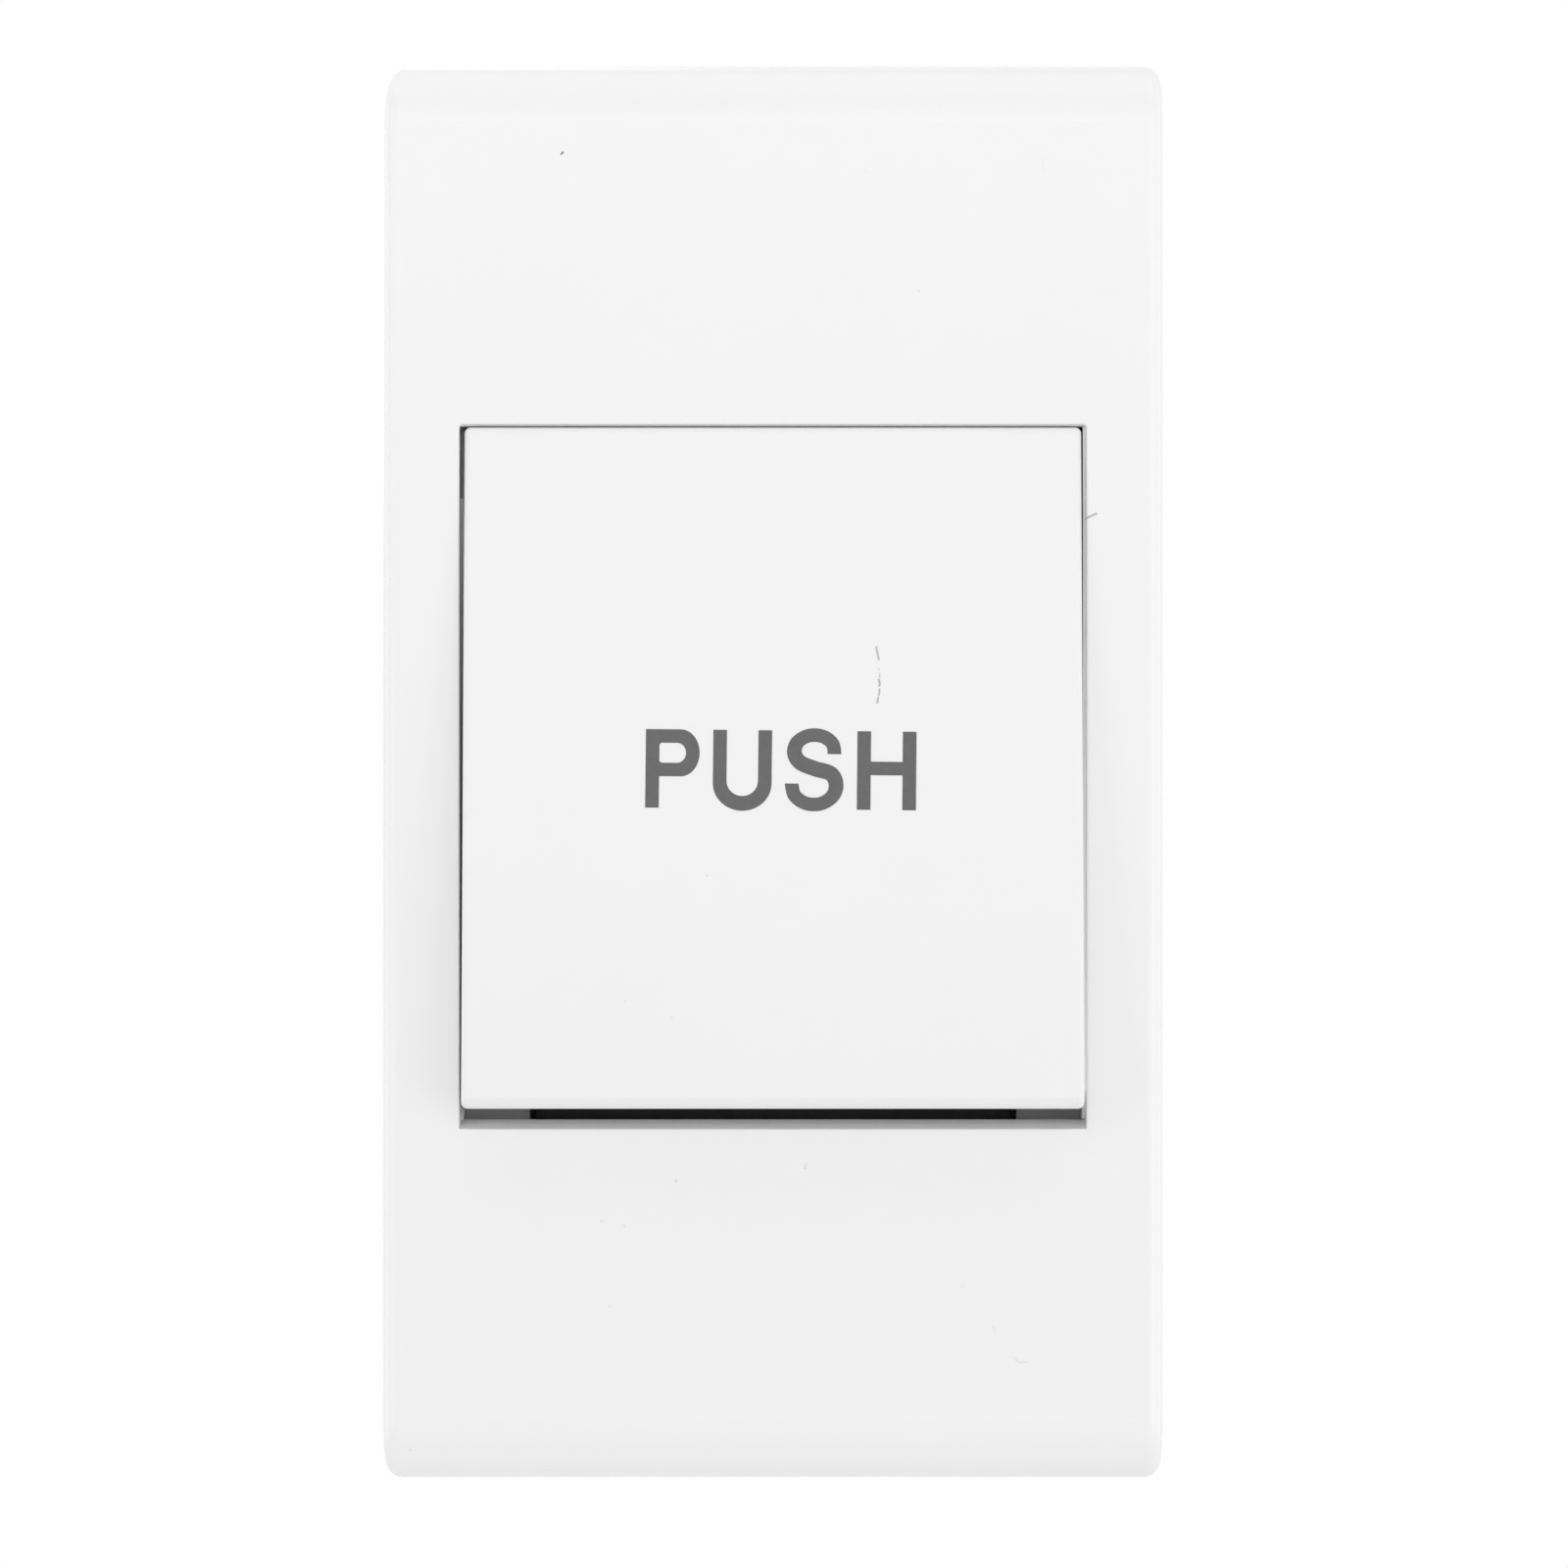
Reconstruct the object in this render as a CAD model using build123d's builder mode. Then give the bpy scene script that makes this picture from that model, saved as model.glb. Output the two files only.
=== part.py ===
from build123d import *
from math import atan2, cos, radians, sin, sqrt
import os

# Exit push button: a snap-on faceplate with a hinged key that works a two-contact switch.
# Millimetres. +Z is up, the front faces -Y and the wall is the plane Y = 0.
# A depth is measured outwards from the wall (depth = -Y), a height is along Z.

# Faceplate
PLATE_WIDTH = 50.0
PLATE_HEIGHT = 91.2
PLATE_DEPTH = 16.0
PLATE_SKIN = 2.0
PLATE_WALL = 1.8
PLATE_END_RADIUS = 4.0
PLATE_SIDE_RADIUS = 1.1
PLATE_REAR_GAP = 0.2
PLATE_RIB_OFFSET = 13.0
PLATE_RIB_THICKNESS = 1.0
PLATE_RIB_DEPTH = 2.4

# Opening for the key, given by the borders left round it, and the collar behind it
SIDE_BORDER = 4.95
TOP_BORDER = 23.41
BOTTOM_BORDER = 22.74
OPENING_CORNER = 0.25
OPENING_EDGE = 0.15
SILL_RISE = 0.5
COLLAR_WALL = 1.2
COLLAR_DEPTH = 7.0
SLIT_DROP = 14.74
SLIT_WIDTH = 1.07
SLIT_BRIDGE = 1.0

# Key
KEY_SIDE_GAP = 0.32
KEY_TOP_GAP = 0.15
KEY_BOTTOM_GAP = 1.5
KEY_RISE = 3.8
KEY_SKIN = 1.6
KEY_WALL = 1.4
KEY_EDGE_RADIUS = 0.4
KEY_LIP_RADIUS = 0.7
KEY_RIB_OFFSET = 11.0
KEY_RIB_THICKNESS = 1.0
KEY_RIB_DEPTH = 2.5
PRESSER_RADIUS = 2.4
PRESSER_LENGTH = 0.6
LUG_THICKNESS = 1.5
LUG_CLEARANCE = 0.3
LUG_SHORTFALL = 0.1
LUG_OVERLAP = 0.5

# Hinge of the key: moulded trunnions in snap-in bearings of the collar
TRUNNION_RADIUS = 1.2
TRUNNION_LENGTH = 1.9
TRUNNION_CHAMFER = 0.3
PIVOT_DROP = 4.19
PIVOT_SETBACK = 5.5
RUN_CLEARANCE = 0.05
BEARING_WALL = 1.75
BEARING_MOUTH = 2.0
EAR_WIDTH = 6.0
PRESS_ANGLE = 4.4
STOP_CLEARANCE = 0.05
POST_CLEARANCE = 0.1

# Mounting base
BASE_CLEARANCE = 0.15
BASE_CORNER = 0.6
BASE_FLOOR = 2.4
BASE_RIM = 1.4
BASE_RIM_RISE = 3.6
BASE_RIB_OFFSET = 9.0
BASE_RIB_THICKNESS = 1.2
BASE_RIB_RISE = 2.0
WALL_SCREW_PITCH = 60.3
WALL_SLOT_LENGTH = 7.0
WALL_SLOT_WIDTH = 4.2
WALL_PAD_BORDER = 1.8
WALL_PAD_RISE = 0.8
WINDOW_RIM = 1.6
POST_WIDTH = 2.2
POST_LENGTH = 3.0
POST_RISE = 7.86

# Snap hooks between base and faceplate
HOOK_OFFSET = 12.0
HOOK_WIDTH = 7.0
HOOK_SLIT = 0.8
HOOK_CLEARANCE = 0.2
BARB_SETBACK = 1.6
BARB_LENGTH = 1.4
BARB_HEIGHT = 0.5
POCKET_DEPTH = 0.5
POCKET_CLEARANCE = 0.1
SEAT_OFFSET = 20.0
SEAT_THICKNESS = 1.2
SEAT_DEPTH = 1.2
PRY_WIDTH = 9.0
PRY_DEPTH = 1.6

# Switch block
WIRING_DEPTH = 4.75
BLOCK_WIDTH = 31.2
BLOCK_SLAB = 1.6
BLOCK_CORNER = 0.8
BLOCK_UNDERLAP = 2.54
BLOCK_RISE = 12.6
PLUNGER_RISE = 12.36
TOWER_FLOOR = 1.4
TOWER_REAR = 1.6
TOWER_WALL = 1.2
TOWER_CORNER = 1.0
CHAMBER_WIDTH = 13.2
CHAMBER_HEIGHT = 10.0
CHAMBER_PAD_SETBACK = 0.2
BARRIER_RISE = 4.5
BARRIER_THICKNESS = 1.0
BARRIER_DEPTH = 2.3
BARRIER_GAP = 0.3
PIN_RADIUS = 0.6
PIN_BORDER = 5.6
PIN_CLEARANCE = 0.05
COVER_THICKNESS = 1.4
COVER_BOSS_RADIUS = 2.1
COVER_SCREW_OFFSET = 7.6

# Contacts and terminals
STRIP_LEAD = 1.6
STRIP_GAP = 0.2
STRIP_WIDTH = 5.0
STRIP_THICKNESS = 0.8
STRIP_CORNER = 0.8
STRIP_CLEARANCE = 0.05
CONTACT_BORDER = 1.7
CONTACT_RADIUS = 1.3
CONTACT_HEIGHT = 0.6
CONTACT_EDGE = 0.2
CONTACT_REST = 0.08
RIVET_RADIUS = 0.6
RIVET_CLEARANCE = 0.02
BRIDGE_GAP = 0.3
BRIDGE_WIDTH = 4.6
BRIDGE_THICKNESS = 0.8
BRIDGE_CORNER = 1.2
CLAMP_THICKNESS = 0.8
CLAMP_CLEARANCE = 0.1
CLAMP_LIP = 0.6

# Plunger and springs, whose wire is drawn with flat sides to keep the coils light
HEAD_STANDOFF = 0.3
HEAD_DOME = 4.0
TOUCH_CLEARANCE = 0.05
STEM_RADIUS = 2.0
FLANGE_RADIUS = 3.2
FLANGE_THICKNESS = 0.9
FLANGE_CLEARANCE = 0.1
PILOT_RADIUS = 1.4
PILOT_WALL_GAP = 0.4
PILOT_CHAMFER = 0.3
GROOVE_RADIUS = 0.9
GROOVE_CLEARANCE = 0.02
CLIP_RADIUS = 2.4
CLIP_THICKNESS = 0.5
CLIP_MOUTH = 1.5
BRIDGE_CLEARANCE = 0.1
WIRE_SIDES = 8
RETURN_WIRE = 0.25
RETURN_RADIUS = 2.0
RETURN_PITCH = 1.05
CONTACT_WIRE = 0.2
CONTACT_SPRING_RADIUS = 1.9
CONTACT_PITCH = 0.8

# Screws
SCREW_CLEARANCE = 0.05
TERMINAL_SCREW_RADIUS = 1.5
TERMINAL_HEAD_GAP = 0.4
TERMINAL_HEAD_HEIGHT = 1.6
TERMINAL_HEAD_EDGE = 0.5
TERMINAL_HOLE_RADIUS = 1.8
TERMINAL_SCREW_SHORT = 0.3
BLOCK_SCREW_BORDER = 3.4
BLOCK_SCREW_DROP = 3.4
BLOCK_SCREW_RADIUS = 1.1
BLOCK_SCREW_END = 1.0
BLOCK_HEAD_RADIUS = 2.2
BLOCK_HEAD_HEIGHT = 1.4
BLOCK_HEAD_EDGE = 0.5
BLOCK_BOSS_RADIUS = 2.6
COVER_SCREW_RADIUS = 0.9
COVER_SCREW_LENGTH = 6.0
COVER_HEAD_RADIUS = 1.7

# How far a cut runs on past the wall that it goes through
OVERRUN = 0.3

# Places worked out from the sizes above
SKIN_REAR = PLATE_DEPTH - PLATE_SKIN
CAVITY_WIDTH = PLATE_WIDTH - 2 * PLATE_WALL
CAVITY_HEIGHT = PLATE_HEIGHT - 2 * PLATE_WALL
OPENING_WIDTH = PLATE_WIDTH - 2 * SIDE_BORDER
OPENING_TOP = PLATE_HEIGHT / 2 - TOP_BORDER
OPENING_BOTTOM = BOTTOM_BORDER - PLATE_HEIGHT / 2
OPENING_HEIGHT = OPENING_TOP - OPENING_BOTTOM
OPENING_CENTRE = (OPENING_TOP + OPENING_BOTTOM) / 2
COLLAR_REAR = PLATE_DEPTH - COLLAR_DEPTH
COLLAR_CUT = OPENING_WIDTH / 2 + COLLAR_WALL + OVERRUN

PIVOT_HEIGHT = OPENING_TOP - PIVOT_DROP
PIVOT_DEPTH = PLATE_DEPTH - PIVOT_SETBACK
EAR_REAR = PIVOT_DEPTH - TRUNNION_RADIUS - RUN_CLEARANCE - BEARING_WALL

KEY_WIDTH = OPENING_WIDTH - 2 * KEY_SIDE_GAP
KEY_TOP = OPENING_TOP - KEY_TOP_GAP
KEY_BOTTOM = OPENING_BOTTOM + KEY_BOTTOM_GAP
KEY_HEIGHT = KEY_TOP - KEY_BOTTOM
KEY_TILT = atan2(KEY_RISE, KEY_HEIGHT)
KEY_NOSE = PLATE_DEPTH + KEY_RISE
SKIRT_REAR = COLLAR_REAR - STOP_CLEARANCE - LUG_THICKNESS
SKIRT_RELIEF = PIVOT_HEIGHT - TRUNNION_RADIUS
HOLLOW_TOP = KEY_TOP - KEY_WALL
HOLLOW_BOTTOM = KEY_BOTTOM + KEY_WALL
LUG_INNER = BLOCK_WIDTH / 2 + LUG_CLEARANCE
LUG_OUTER = OPENING_WIDTH / 2 + LUG_OVERLAP
LUG_TIP = OPENING_BOTTOM - COLLAR_WALL + LUG_SHORTFALL

PLUNGER_HEIGHT = KEY_BOTTOM + PLUNGER_RISE
TRAVEL = (PIVOT_HEIGHT - PLUNGER_HEIGHT) * radians(PRESS_ANGLE)
BLOCK_TOP = PLUNGER_HEIGHT + BLOCK_RISE
BLOCK_BOTTOM = OPENING_BOTTOM - BLOCK_UNDERLAP
BLOCK_HEIGHT = BLOCK_TOP - BLOCK_BOTTOM
BLOCK_CENTRE = (BLOCK_TOP + BLOCK_BOTTOM) / 2
BLOCK_FRONT = WIRING_DEPTH + BLOCK_SLAB
BLOCK_SCREW_OFFSET = BLOCK_WIDTH / 2 - BLOCK_SCREW_BORDER
BLOCK_SCREW_HEIGHT = BLOCK_TOP - BLOCK_SCREW_DROP
PIN_OFFSET = BLOCK_WIDTH / 2 - PIN_BORDER
PIN_HEIGHT = BLOCK_BOTTOM + WINDOW_RIM / 2
TOWER_WIDTH = CHAMBER_WIDTH + 2 * TOWER_WALL
TOWER_HEIGHT = CHAMBER_HEIGHT + 2 * TOWER_WALL
CHAMBER_FLOOR = TOWER_REAR + TOWER_FLOOR

# The window in the base leaves room for a terminal on each side of the chamber's walls
WINDOW_WIDTH = BLOCK_WIDTH - 2 * WINDOW_RIM
WINDOW_HEIGHT = BLOCK_HEIGHT - 2 * WINDOW_RIM
TERMINAL_ROOM = (WINDOW_WIDTH - TOWER_WIDTH) / 2
TERMINAL_OFFSET = (WINDOW_WIDTH + TOWER_WIDTH) / 4
TERMINAL_HEAD_RADIUS = TERMINAL_ROOM / 2 - TERMINAL_HEAD_GAP
CLAMP_LENGTH = TERMINAL_ROOM - 2 * CLAMP_CLEARANCE
BRIDGE_LENGTH = CHAMBER_WIDTH - 2 * BRIDGE_GAP
CONTACT_OFFSET = BRIDGE_LENGTH / 2 - CONTACT_BORDER
STRIP_START = CONTACT_OFFSET - STRIP_LEAD
STRIP_END = WINDOW_WIDTH / 2 - STRIP_GAP
STRIP_LENGTH = STRIP_END - STRIP_START
STRIP_CENTRE = (STRIP_START + STRIP_END) / 2
CHAMBER_PAD = CHAMBER_WIDTH / 2 - STRIP_START - CHAMBER_PAD_SETBACK
STRIP_REAR = WIRING_DEPTH - STRIP_THICKNESS
CLAMP_REAR = STRIP_REAR - CLAMP_THICKNESS
FIXED_FACE = WIRING_DEPTH + CONTACT_HEIGHT
BRIDGE_REAR = FIXED_FACE + TRAVEL + CONTACT_REST + CONTACT_HEIGHT
BRIDGE_FRONT = BRIDGE_REAR + BRIDGE_THICKNESS
CLIP_REAR = BRIDGE_REAR - CLIP_THICKNESS

BASE_WIDTH = CAVITY_WIDTH - 2 * BASE_CLEARANCE
BASE_HEIGHT = CAVITY_HEIGHT - 2 * BASE_CLEARANCE
BASE_RIM_TOP = BASE_FLOOR + BASE_RIM_RISE
BARB_REAR = BASE_RIM_TOP - BARB_SETBACK
BARB_FRONT = BARB_REAR + BARB_LENGTH
POST_HEIGHT = KEY_BOTTOM + POST_RISE

# Side view plane: its own x is depth and its own y is height
SIDE_PLANE = Plane(origin=(0, 0, 0), x_dir=(0, -1, 0), z_dir=(-1, 0, 0))
# The same view, with y measured from the plunger's axis
PLUNGER_PLANE = Plane(origin=(0, 0, PLUNGER_HEIGHT), x_dir=(0, -1, 0), z_dir=(-1, 0, 0))
PLUNGER_AXIS = Axis((0, 0, PLUNGER_HEIGHT), (0, -1, 0))


def front_plane(depth):
    """Plane parallel to the wall at a depth, with x to the right and y up."""
    return Plane.XZ.offset(depth)


def key_face(height):
    """Depth of the key's sloping front face at a height."""
    return PLATE_DEPTH + KEY_RISE * (KEY_TOP - height) / KEY_HEIGHT


def key_inside(height):
    """Depth of the inner side of the key's front skin at a height."""
    return key_face(height) - KEY_SKIN / cos(KEY_TILT)


def pressed_depth(depth, height):
    """Depth that a point of the key has at the end of its stroke."""
    turn = radians(PRESS_ANGLE)
    return PIVOT_DEPTH + (depth - PIVOT_DEPTH) * cos(turn) + (height - PIVOT_HEIGHT) * sin(turn)


# Depths of the stack from the key's presser down to the plunger's flange
PRESSER_TIP = key_inside(PLUNGER_HEIGHT) - PRESSER_LENGTH
HEAD_DEPTH = PRESSER_TIP - TOUCH_CLEARANCE
HEAD_SHOULDER = HEAD_DEPTH - (HEAD_DOME - sqrt(HEAD_DOME**2 - STEM_RADIUS**2))
COVER_FRONT = HEAD_DEPTH - TRAVEL - HEAD_STANDOFF
COVER_REAR = COVER_FRONT - COVER_THICKNESS
FLANGE_FRONT = COVER_REAR - FLANGE_CLEARANCE
FLANGE_REAR = FLANGE_FRONT - FLANGE_THICKNESS
PILOT_END = TRAVEL + PILOT_WALL_GAP
# The heads of the cover screws are sunk at 45 degrees to the axis
COVER_HEAD_HEIGHT = COVER_HEAD_RADIUS - COVER_SCREW_RADIUS
POST_TOP = pressed_depth(SKIRT_REAR, POST_HEIGHT - POST_LENGTH / 2) - POST_CLEARANCE

os.makedirs("parts", exist_ok=True)


# Faceplate: side profile drawn across the width, hollow, with the collar round the key
with BuildPart() as faceplate:
    with BuildSketch(SIDE_PLANE) as plate_profile:
        with Locations(((PLATE_REAR_GAP + PLATE_DEPTH) / 2, 0)):
            Rectangle(PLATE_DEPTH - PLATE_REAR_GAP, PLATE_HEIGHT)
        fillet(plate_profile.vertices().group_by(Axis.X)[-1], PLATE_END_RADIUS)
    extrude(amount=PLATE_WIDTH / 2, both=True)
    side_edges = faceplate.faces().filter_by(Axis.X).edges()
    rear_edges = faceplate.faces().sort_by(Axis.Y)[-1].edges()
    fillet(side_edges - rear_edges, PLATE_SIDE_RADIUS)
    with BuildSketch(SIDE_PLANE) as cavity_profile:
        with Locations(((PLATE_REAR_GAP + SKIN_REAR) / 2, 0)):
            Rectangle(SKIN_REAR - PLATE_REAR_GAP, CAVITY_HEIGHT)
        fillet(cavity_profile.vertices().group_by(Axis.X)[-1], PLATE_END_RADIUS - PLATE_WALL)
    extrude(amount=CAVITY_WIDTH / 2, both=True, mode=Mode.SUBTRACT)
    # Collar and the two bearing ears that reach further back
    with BuildSketch(front_plane(COLLAR_REAR)):
        with Locations((0, OPENING_CENTRE)):
            Rectangle(OPENING_WIDTH + 2 * COLLAR_WALL, OPENING_HEIGHT + 2 * COLLAR_WALL)
    extrude(amount=SKIN_REAR - COLLAR_REAR)
    with BuildSketch(front_plane(EAR_REAR)):
        with Locations((0, PIVOT_HEIGHT)):
            with GridLocations(OPENING_WIDTH + COLLAR_WALL, 0, 2, 1):
                Rectangle(COLLAR_WALL, EAR_WIDTH)
    extrude(amount=COLLAR_REAR - EAR_REAR)
    # Stiffening ribs above and below the collar
    with BuildSketch(front_plane(SKIN_REAR - PLATE_RIB_DEPTH)):
        for start, end in (
            (OPENING_TOP + COLLAR_WALL, CAVITY_HEIGHT / 2),
            (-CAVITY_HEIGHT / 2, OPENING_BOTTOM - COLLAR_WALL),
        ):
            with Locations((0, (start + end) / 2)):
                with GridLocations(2 * PLATE_RIB_OFFSET, 0, 2, 1):
                    Rectangle(PLATE_RIB_THICKNESS, end - start)
    extrude(amount=PLATE_RIB_DEPTH)
    # Seating ribs that land on the rim of the base
    with BuildSketch(front_plane(BASE_RIM_TOP)):
        with GridLocations(2 * SEAT_OFFSET, CAVITY_HEIGHT - SEAT_DEPTH, 2, 2):
            Rectangle(SEAT_THICKNESS, SEAT_DEPTH)
    extrude(amount=SKIN_REAR - BASE_RIM_TOP)
    # Opening for the key, with a sill that slopes down to the front along its lower edge
    with BuildSketch(front_plane(EAR_REAR)) as opening:
        with Locations((0, OPENING_CENTRE)):
            Rectangle(OPENING_WIDTH, OPENING_HEIGHT)
        fillet(opening.vertices().group_by(Axis.Y)[-1], OPENING_CORNER)
    extrude(amount=PLATE_DEPTH - EAR_REAR, mode=Mode.SUBTRACT)
    with BuildSketch(SIDE_PLANE):
        with BuildLine():
            Polyline(
                (PLATE_DEPTH, OPENING_BOTTOM),
                (SKIN_REAR, OPENING_BOTTOM + SILL_RISE),
                (SKIN_REAR, OPENING_BOTTOM),
                close=True,
            )
        make_face()
    extrude(amount=OPENING_WIDTH / 2, both=True)
    # Snap-in bearings, and the slits that let the ears spring
    with BuildSketch(SIDE_PLANE):
        with Locations((PIVOT_DEPTH, PIVOT_HEIGHT)):
            Circle(TRUNNION_RADIUS + RUN_CLEARANCE)
        with Locations(((EAR_REAR + PIVOT_DEPTH) / 2, PIVOT_HEIGHT)):
            Rectangle(PIVOT_DEPTH - EAR_REAR, BEARING_MOUTH)
        with Locations(((COLLAR_REAR + SKIN_REAR - SLIT_BRIDGE) / 2, OPENING_TOP - SLIT_DROP)):
            Rectangle(SKIN_REAR - SLIT_BRIDGE - COLLAR_REAR, SLIT_WIDTH)
    extrude(amount=COLLAR_CUT, both=True, mode=Mode.SUBTRACT)
    # Pockets for the hooks of the base, and the notch for prying the faceplate off
    with BuildSketch(front_plane(BARB_REAR - POCKET_CLEARANCE)):
        with GridLocations(2 * HOOK_OFFSET, CAVITY_HEIGHT + POCKET_DEPTH, 2, 2):
            Rectangle(HOOK_WIDTH + 2 * HOOK_CLEARANCE, POCKET_DEPTH)
    extrude(amount=BARB_LENGTH + 2 * POCKET_CLEARANCE, mode=Mode.SUBTRACT)
    with BuildSketch(front_plane(PLATE_REAR_GAP)):
        with Locations((0, -(PLATE_HEIGHT - PLATE_WALL) / 2)):
            Rectangle(PRY_WIDTH, PLATE_WALL)
    extrude(amount=PRY_DEPTH, mode=Mode.SUBTRACT)
    front_face = faceplate.faces().sort_by(Axis.Y)[0]
    fillet(front_face.inner_wires()[0].edges(), OPENING_EDGE)
faceplate.part.label = "faceplate"
export_step(faceplate.part, "parts/faceplate.step")


# Key: wedge-shaped shell with trunnions, stop lugs and the presser for the plunger
with BuildPart() as push_key:
    with BuildSketch(SIDE_PLANE) as key_profile:
        with BuildLine():
            Polyline(
                (PLATE_DEPTH, KEY_TOP),
                (KEY_NOSE, KEY_BOTTOM),
                (SKIRT_REAR, KEY_BOTTOM),
                (SKIRT_REAR, SKIRT_RELIEF),
                (PIVOT_DEPTH, KEY_TOP),
                close=True,
            )
        make_face()
        fillet(key_profile.vertices().sort_by(Axis.X)[-1], KEY_LIP_RADIUS)
    extrude(amount=KEY_WIDTH / 2, both=True)
    side_edges = push_key.faces().filter_by(Axis.X).edges()
    top_edges = push_key.edges().filter_by(Axis.X).group_by(Axis.Z)[-1]
    front_edges = (side_edges + top_edges).filter_by(lambda edge: edge.center().Y < -PIVOT_DEPTH)
    fillet(front_edges, KEY_EDGE_RADIUS)
    with BuildSketch(SIDE_PLANE):
        with BuildLine():
            Polyline(
                (key_inside(HOLLOW_TOP), HOLLOW_TOP),
                (key_inside(HOLLOW_BOTTOM), HOLLOW_BOTTOM),
                (SKIRT_REAR, HOLLOW_BOTTOM),
                (SKIRT_REAR, HOLLOW_TOP),
                close=True,
            )
        make_face()
    extrude(amount=KEY_WIDTH / 2 - KEY_WALL, both=True, mode=Mode.SUBTRACT)
    # The lower wall stops short in the middle, clear of the switch block
    with BuildSketch(front_plane(SKIRT_REAR)):
        with Locations((0, KEY_BOTTOM)):
            Rectangle(2 * LUG_INNER, 2 * KEY_WALL)
    extrude(amount=PIVOT_DEPTH - SKIRT_REAR, mode=Mode.SUBTRACT)
    # Lugs that catch behind the collar and keep the key in
    with BuildSketch(front_plane(SKIRT_REAR)):
        with Locations((0, (HOLLOW_BOTTOM + LUG_TIP) / 2)):
            with GridLocations(LUG_INNER + LUG_OUTER, 0, 2, 1):
                Rectangle(LUG_OUTER - LUG_INNER, HOLLOW_BOTTOM - LUG_TIP)
    extrude(amount=LUG_THICKNESS)
    # Ribs along the inside of the skin
    for offset in (-KEY_RIB_OFFSET, KEY_RIB_OFFSET):
        with BuildSketch(SIDE_PLANE.offset(offset)):
            with BuildLine():
                Polyline(
                    (key_inside(HOLLOW_TOP), HOLLOW_TOP),
                    (key_inside(HOLLOW_BOTTOM), HOLLOW_BOTTOM),
                    (key_inside(HOLLOW_BOTTOM) - KEY_RIB_DEPTH, HOLLOW_BOTTOM),
                    (key_inside(HOLLOW_TOP) - KEY_RIB_DEPTH, HOLLOW_TOP),
                    close=True,
                )
            make_face()
        extrude(amount=KEY_RIB_THICKNESS / 2, both=True)
    # Presser, drawn a little into the skin so that it joins the slope all round
    with BuildSketch(front_plane(PRESSER_TIP)):
        with Locations((0, PLUNGER_HEIGHT)):
            Circle(PRESSER_RADIUS)
    extrude(amount=PRESSER_LENGTH + KEY_SKIN / 2)
    # Trunnions
    with Locations((0, -PIVOT_DEPTH, PIVOT_HEIGHT)):
        with GridLocations(KEY_WIDTH + TRUNNION_LENGTH, 0, 2, 1):
            Cylinder(TRUNNION_RADIUS, TRUNNION_LENGTH, rotation=(0, 90, 0))
    rings = push_key.edges().filter_by(GeomType.CIRCLE).group_by(Axis.X)
    chamfer(rings[0] + rings[-1], TRUNNION_CHAMFER)
push_key.part.label = "push_key"
export_step(push_key.part, "parts/push_key.step")


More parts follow.
